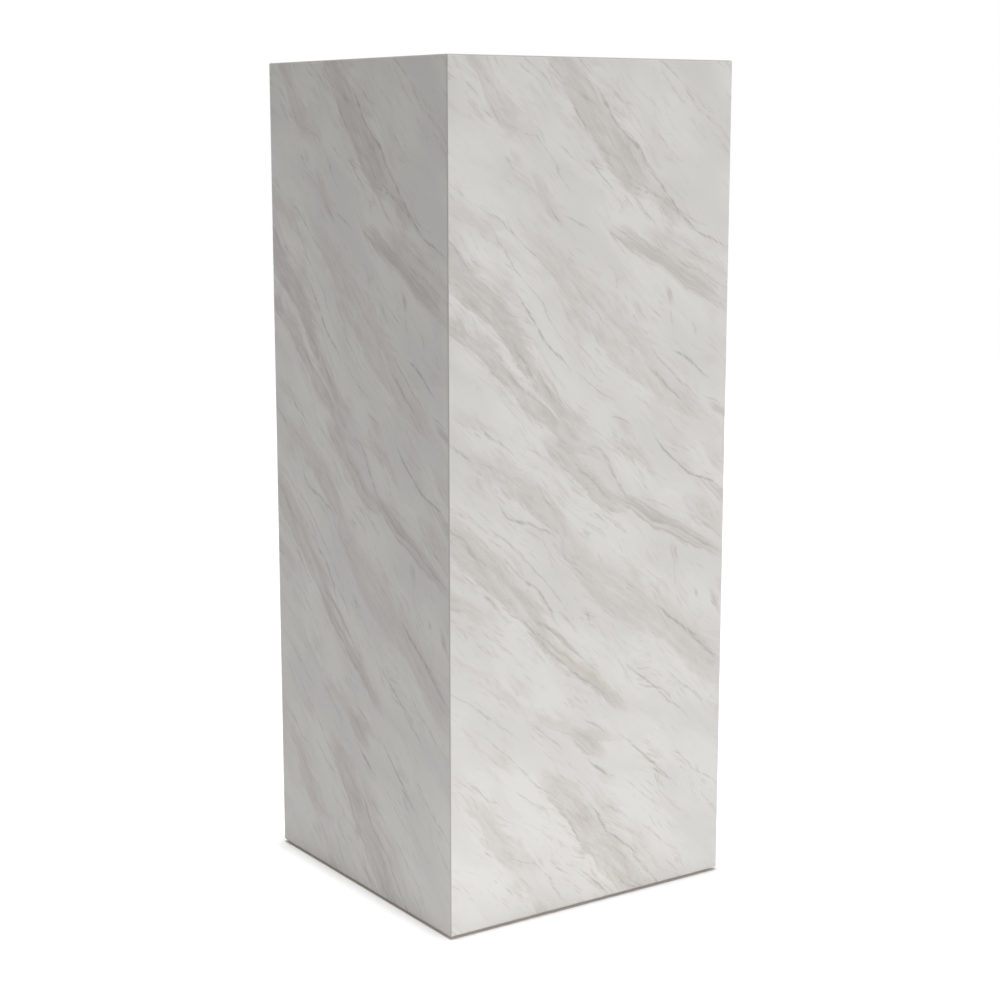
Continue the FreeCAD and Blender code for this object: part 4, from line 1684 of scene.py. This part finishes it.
@dataclass(frozen=True)
class SoftLight:
    """A soft rectangular light.

    Attributes:
        name: Its name.
        place: Where it stands, in metres.
        target: What it points at.
        size: Its width and height.
        power: Its power in watts.
    """

    name: str
    place: Place
    target: Place
    size: Pair
    power: float

    def build(self) -> None:
        """Sets the light up."""
        lamp = bpy.data.lights.new(self.name, "AREA")
        lamp.shape = "RECTANGLE"
        lamp.size, lamp.size_y = self.size
        lamp.energy = self.power
        light = bpy.data.objects.new(self.name, lamp)
        light.location = self.place
        aim = Vector(self.target) - Vector(self.place)
        light.rotation_euler = aim.to_track_quat("-Z", "Y").to_euler()
        light.visible_camera = False
        bpy.context.scene.collection.objects.link(light)


@dataclass
class Studio:
    """A pale floor, a pale surrounding, soft lights and the camera.

    Attributes:
        floor_half: Half the floor's width in metres.
        floor: The floor's colour.
        lit_from_below: How bright the floor is by itself, because it is a light table.
        overhead: The strength of the light from straight above.
        overhead_spread: The angle in degrees over which it comes.
        around: How bright the surrounding is as a light.
        lights: The other lights.
        picture: The picture's width in pixels.
        focal: The camera's focal length in those pixels.
        eye: Where the camera stands, in metres.
        turn: How far it is turned from the Y axis towards the X axis, in degrees.
        tilt: How far it looks down.
    """

    floor_half: float = 30.0
    floor: Colour = (0.888, 0.888, 0.888, 1.0)
    lit_from_below: float = 0.1
    overhead: float = 3.25
    overhead_spread: float = 4.0
    around: float = 0.04
    lights: Tuple[SoftLight, ...] = (
        SoftLight("key", (1.0, -1.9, 0.5), (0.0, 0.0, 0.38), (1.2, 1.0), 12.8),
        SoftLight("foot", (-0.07, -0.46, 0.04), (-0.03, -0.15, 0.03), (0.4, 0.05), 0.17),
        SoftLight("back", (2.6, 2.0, 1.3), (0.0, 0.0, 0.38), (1.4, 1.4), 14.0),
        SoftLight("glow", (-0.26, -0.28, 0.04), (-0.1525, -0.15, 0.04), (0.06, 0.04), 0.03),
    )
    picture: float = 1000.0
    focal: float = 2017.6
    eye: Place = (-1.065, -1.558, 0.703)
    turn: float = 34.47
    tilt: float = 10.46

    def _floor(self) -> None:
        """Lays the floor."""
        half = self.floor_half
        mesh = bpy.data.meshes.new("floor")
        corners = [(-half, -half, 0.0), (half, -half, 0.0), (half, half, 0.0), (-half, half, 0.0)]
        mesh.from_pydata(corners, [], [(0, 1, 2, 3)])
        material = Coat("pale_floor").finished(
            {
                "Base Color": self.floor,
                "Roughness": 0.8,
                "Specular IOR Level": 0.2,
                "Emission Color": WHITE,
                "Emission Strength": self.lit_from_below,
            }
        )
        mesh.materials.append(material)
        floor = bpy.data.objects.new("floor", mesh)
        bpy.context.scene.collection.objects.link(floor)

    def _surrounding(self) -> None:
        """Sets the surrounding: white to look at, dim as a light."""
        world = bpy.data.worlds.new("surrounding")
        world.use_nodes = True
        world.node_tree.nodes.clear()
        bench = Bench(world.node_tree)
        looked_at = bench.wire(bench.add("ShaderNodeLightPath"), "Is Camera Ray")
        strength = looked_at * (1.0 - self.around) + self.around
        background = bench.add("ShaderNodeBackground", None, {"Color": WHITE, "Strength": strength})
        bench.add("ShaderNodeOutputWorld", None, {"Surface": background.outputs[0]})
        bpy.context.scene.world = world

    def _overhead(self) -> None:
        """Hangs the even light from above."""
        lamp = bpy.data.lights.new("overhead", "SUN")
        lamp.energy = self.overhead
        lamp.angle = math.radians(self.overhead_spread)
        light = bpy.data.objects.new("overhead", lamp)
        bpy.context.scene.collection.objects.link(light)

    def _camera(self) -> None:
        """Stands the camera where the photograph was taken from."""
        lens = bpy.data.cameras.new("camera")
        lens.sensor_fit = "HORIZONTAL"
        lens.lens = self.focal / self.picture * lens.sensor_width
        camera = bpy.data.objects.new("camera", lens)
        camera.location = self.eye
        camera.rotation_euler = (math.radians(90.0 - self.tilt), 0.0, -math.radians(self.turn))
        bpy.context.scene.collection.objects.link(camera)
        bpy.context.scene.camera = camera

    def build(self) -> None:
        """Sets the whole studio up."""
        scene = bpy.context.scene
        scene.view_settings.view_transform = "Standard"
        scene.view_settings.look = "None"
        self._camera()
        self._floor()
        self._surrounding()
        self._overhead()
        for light in self.lights:
            light.build()
        log.info("studio with %d soft lights", len(self.lights) + 1)


def main() -> None:
    """Builds the studio and dresses the column."""
    logging.basicConfig(level=logging.INFO, format="%(name)s: %(message)s")
    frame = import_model()
    Studio().build()
    MarbleShell().build(frame)
    Carcass().build(frame)
    GlideSet().build(frame)


if __name__ == "__main__":
    main()
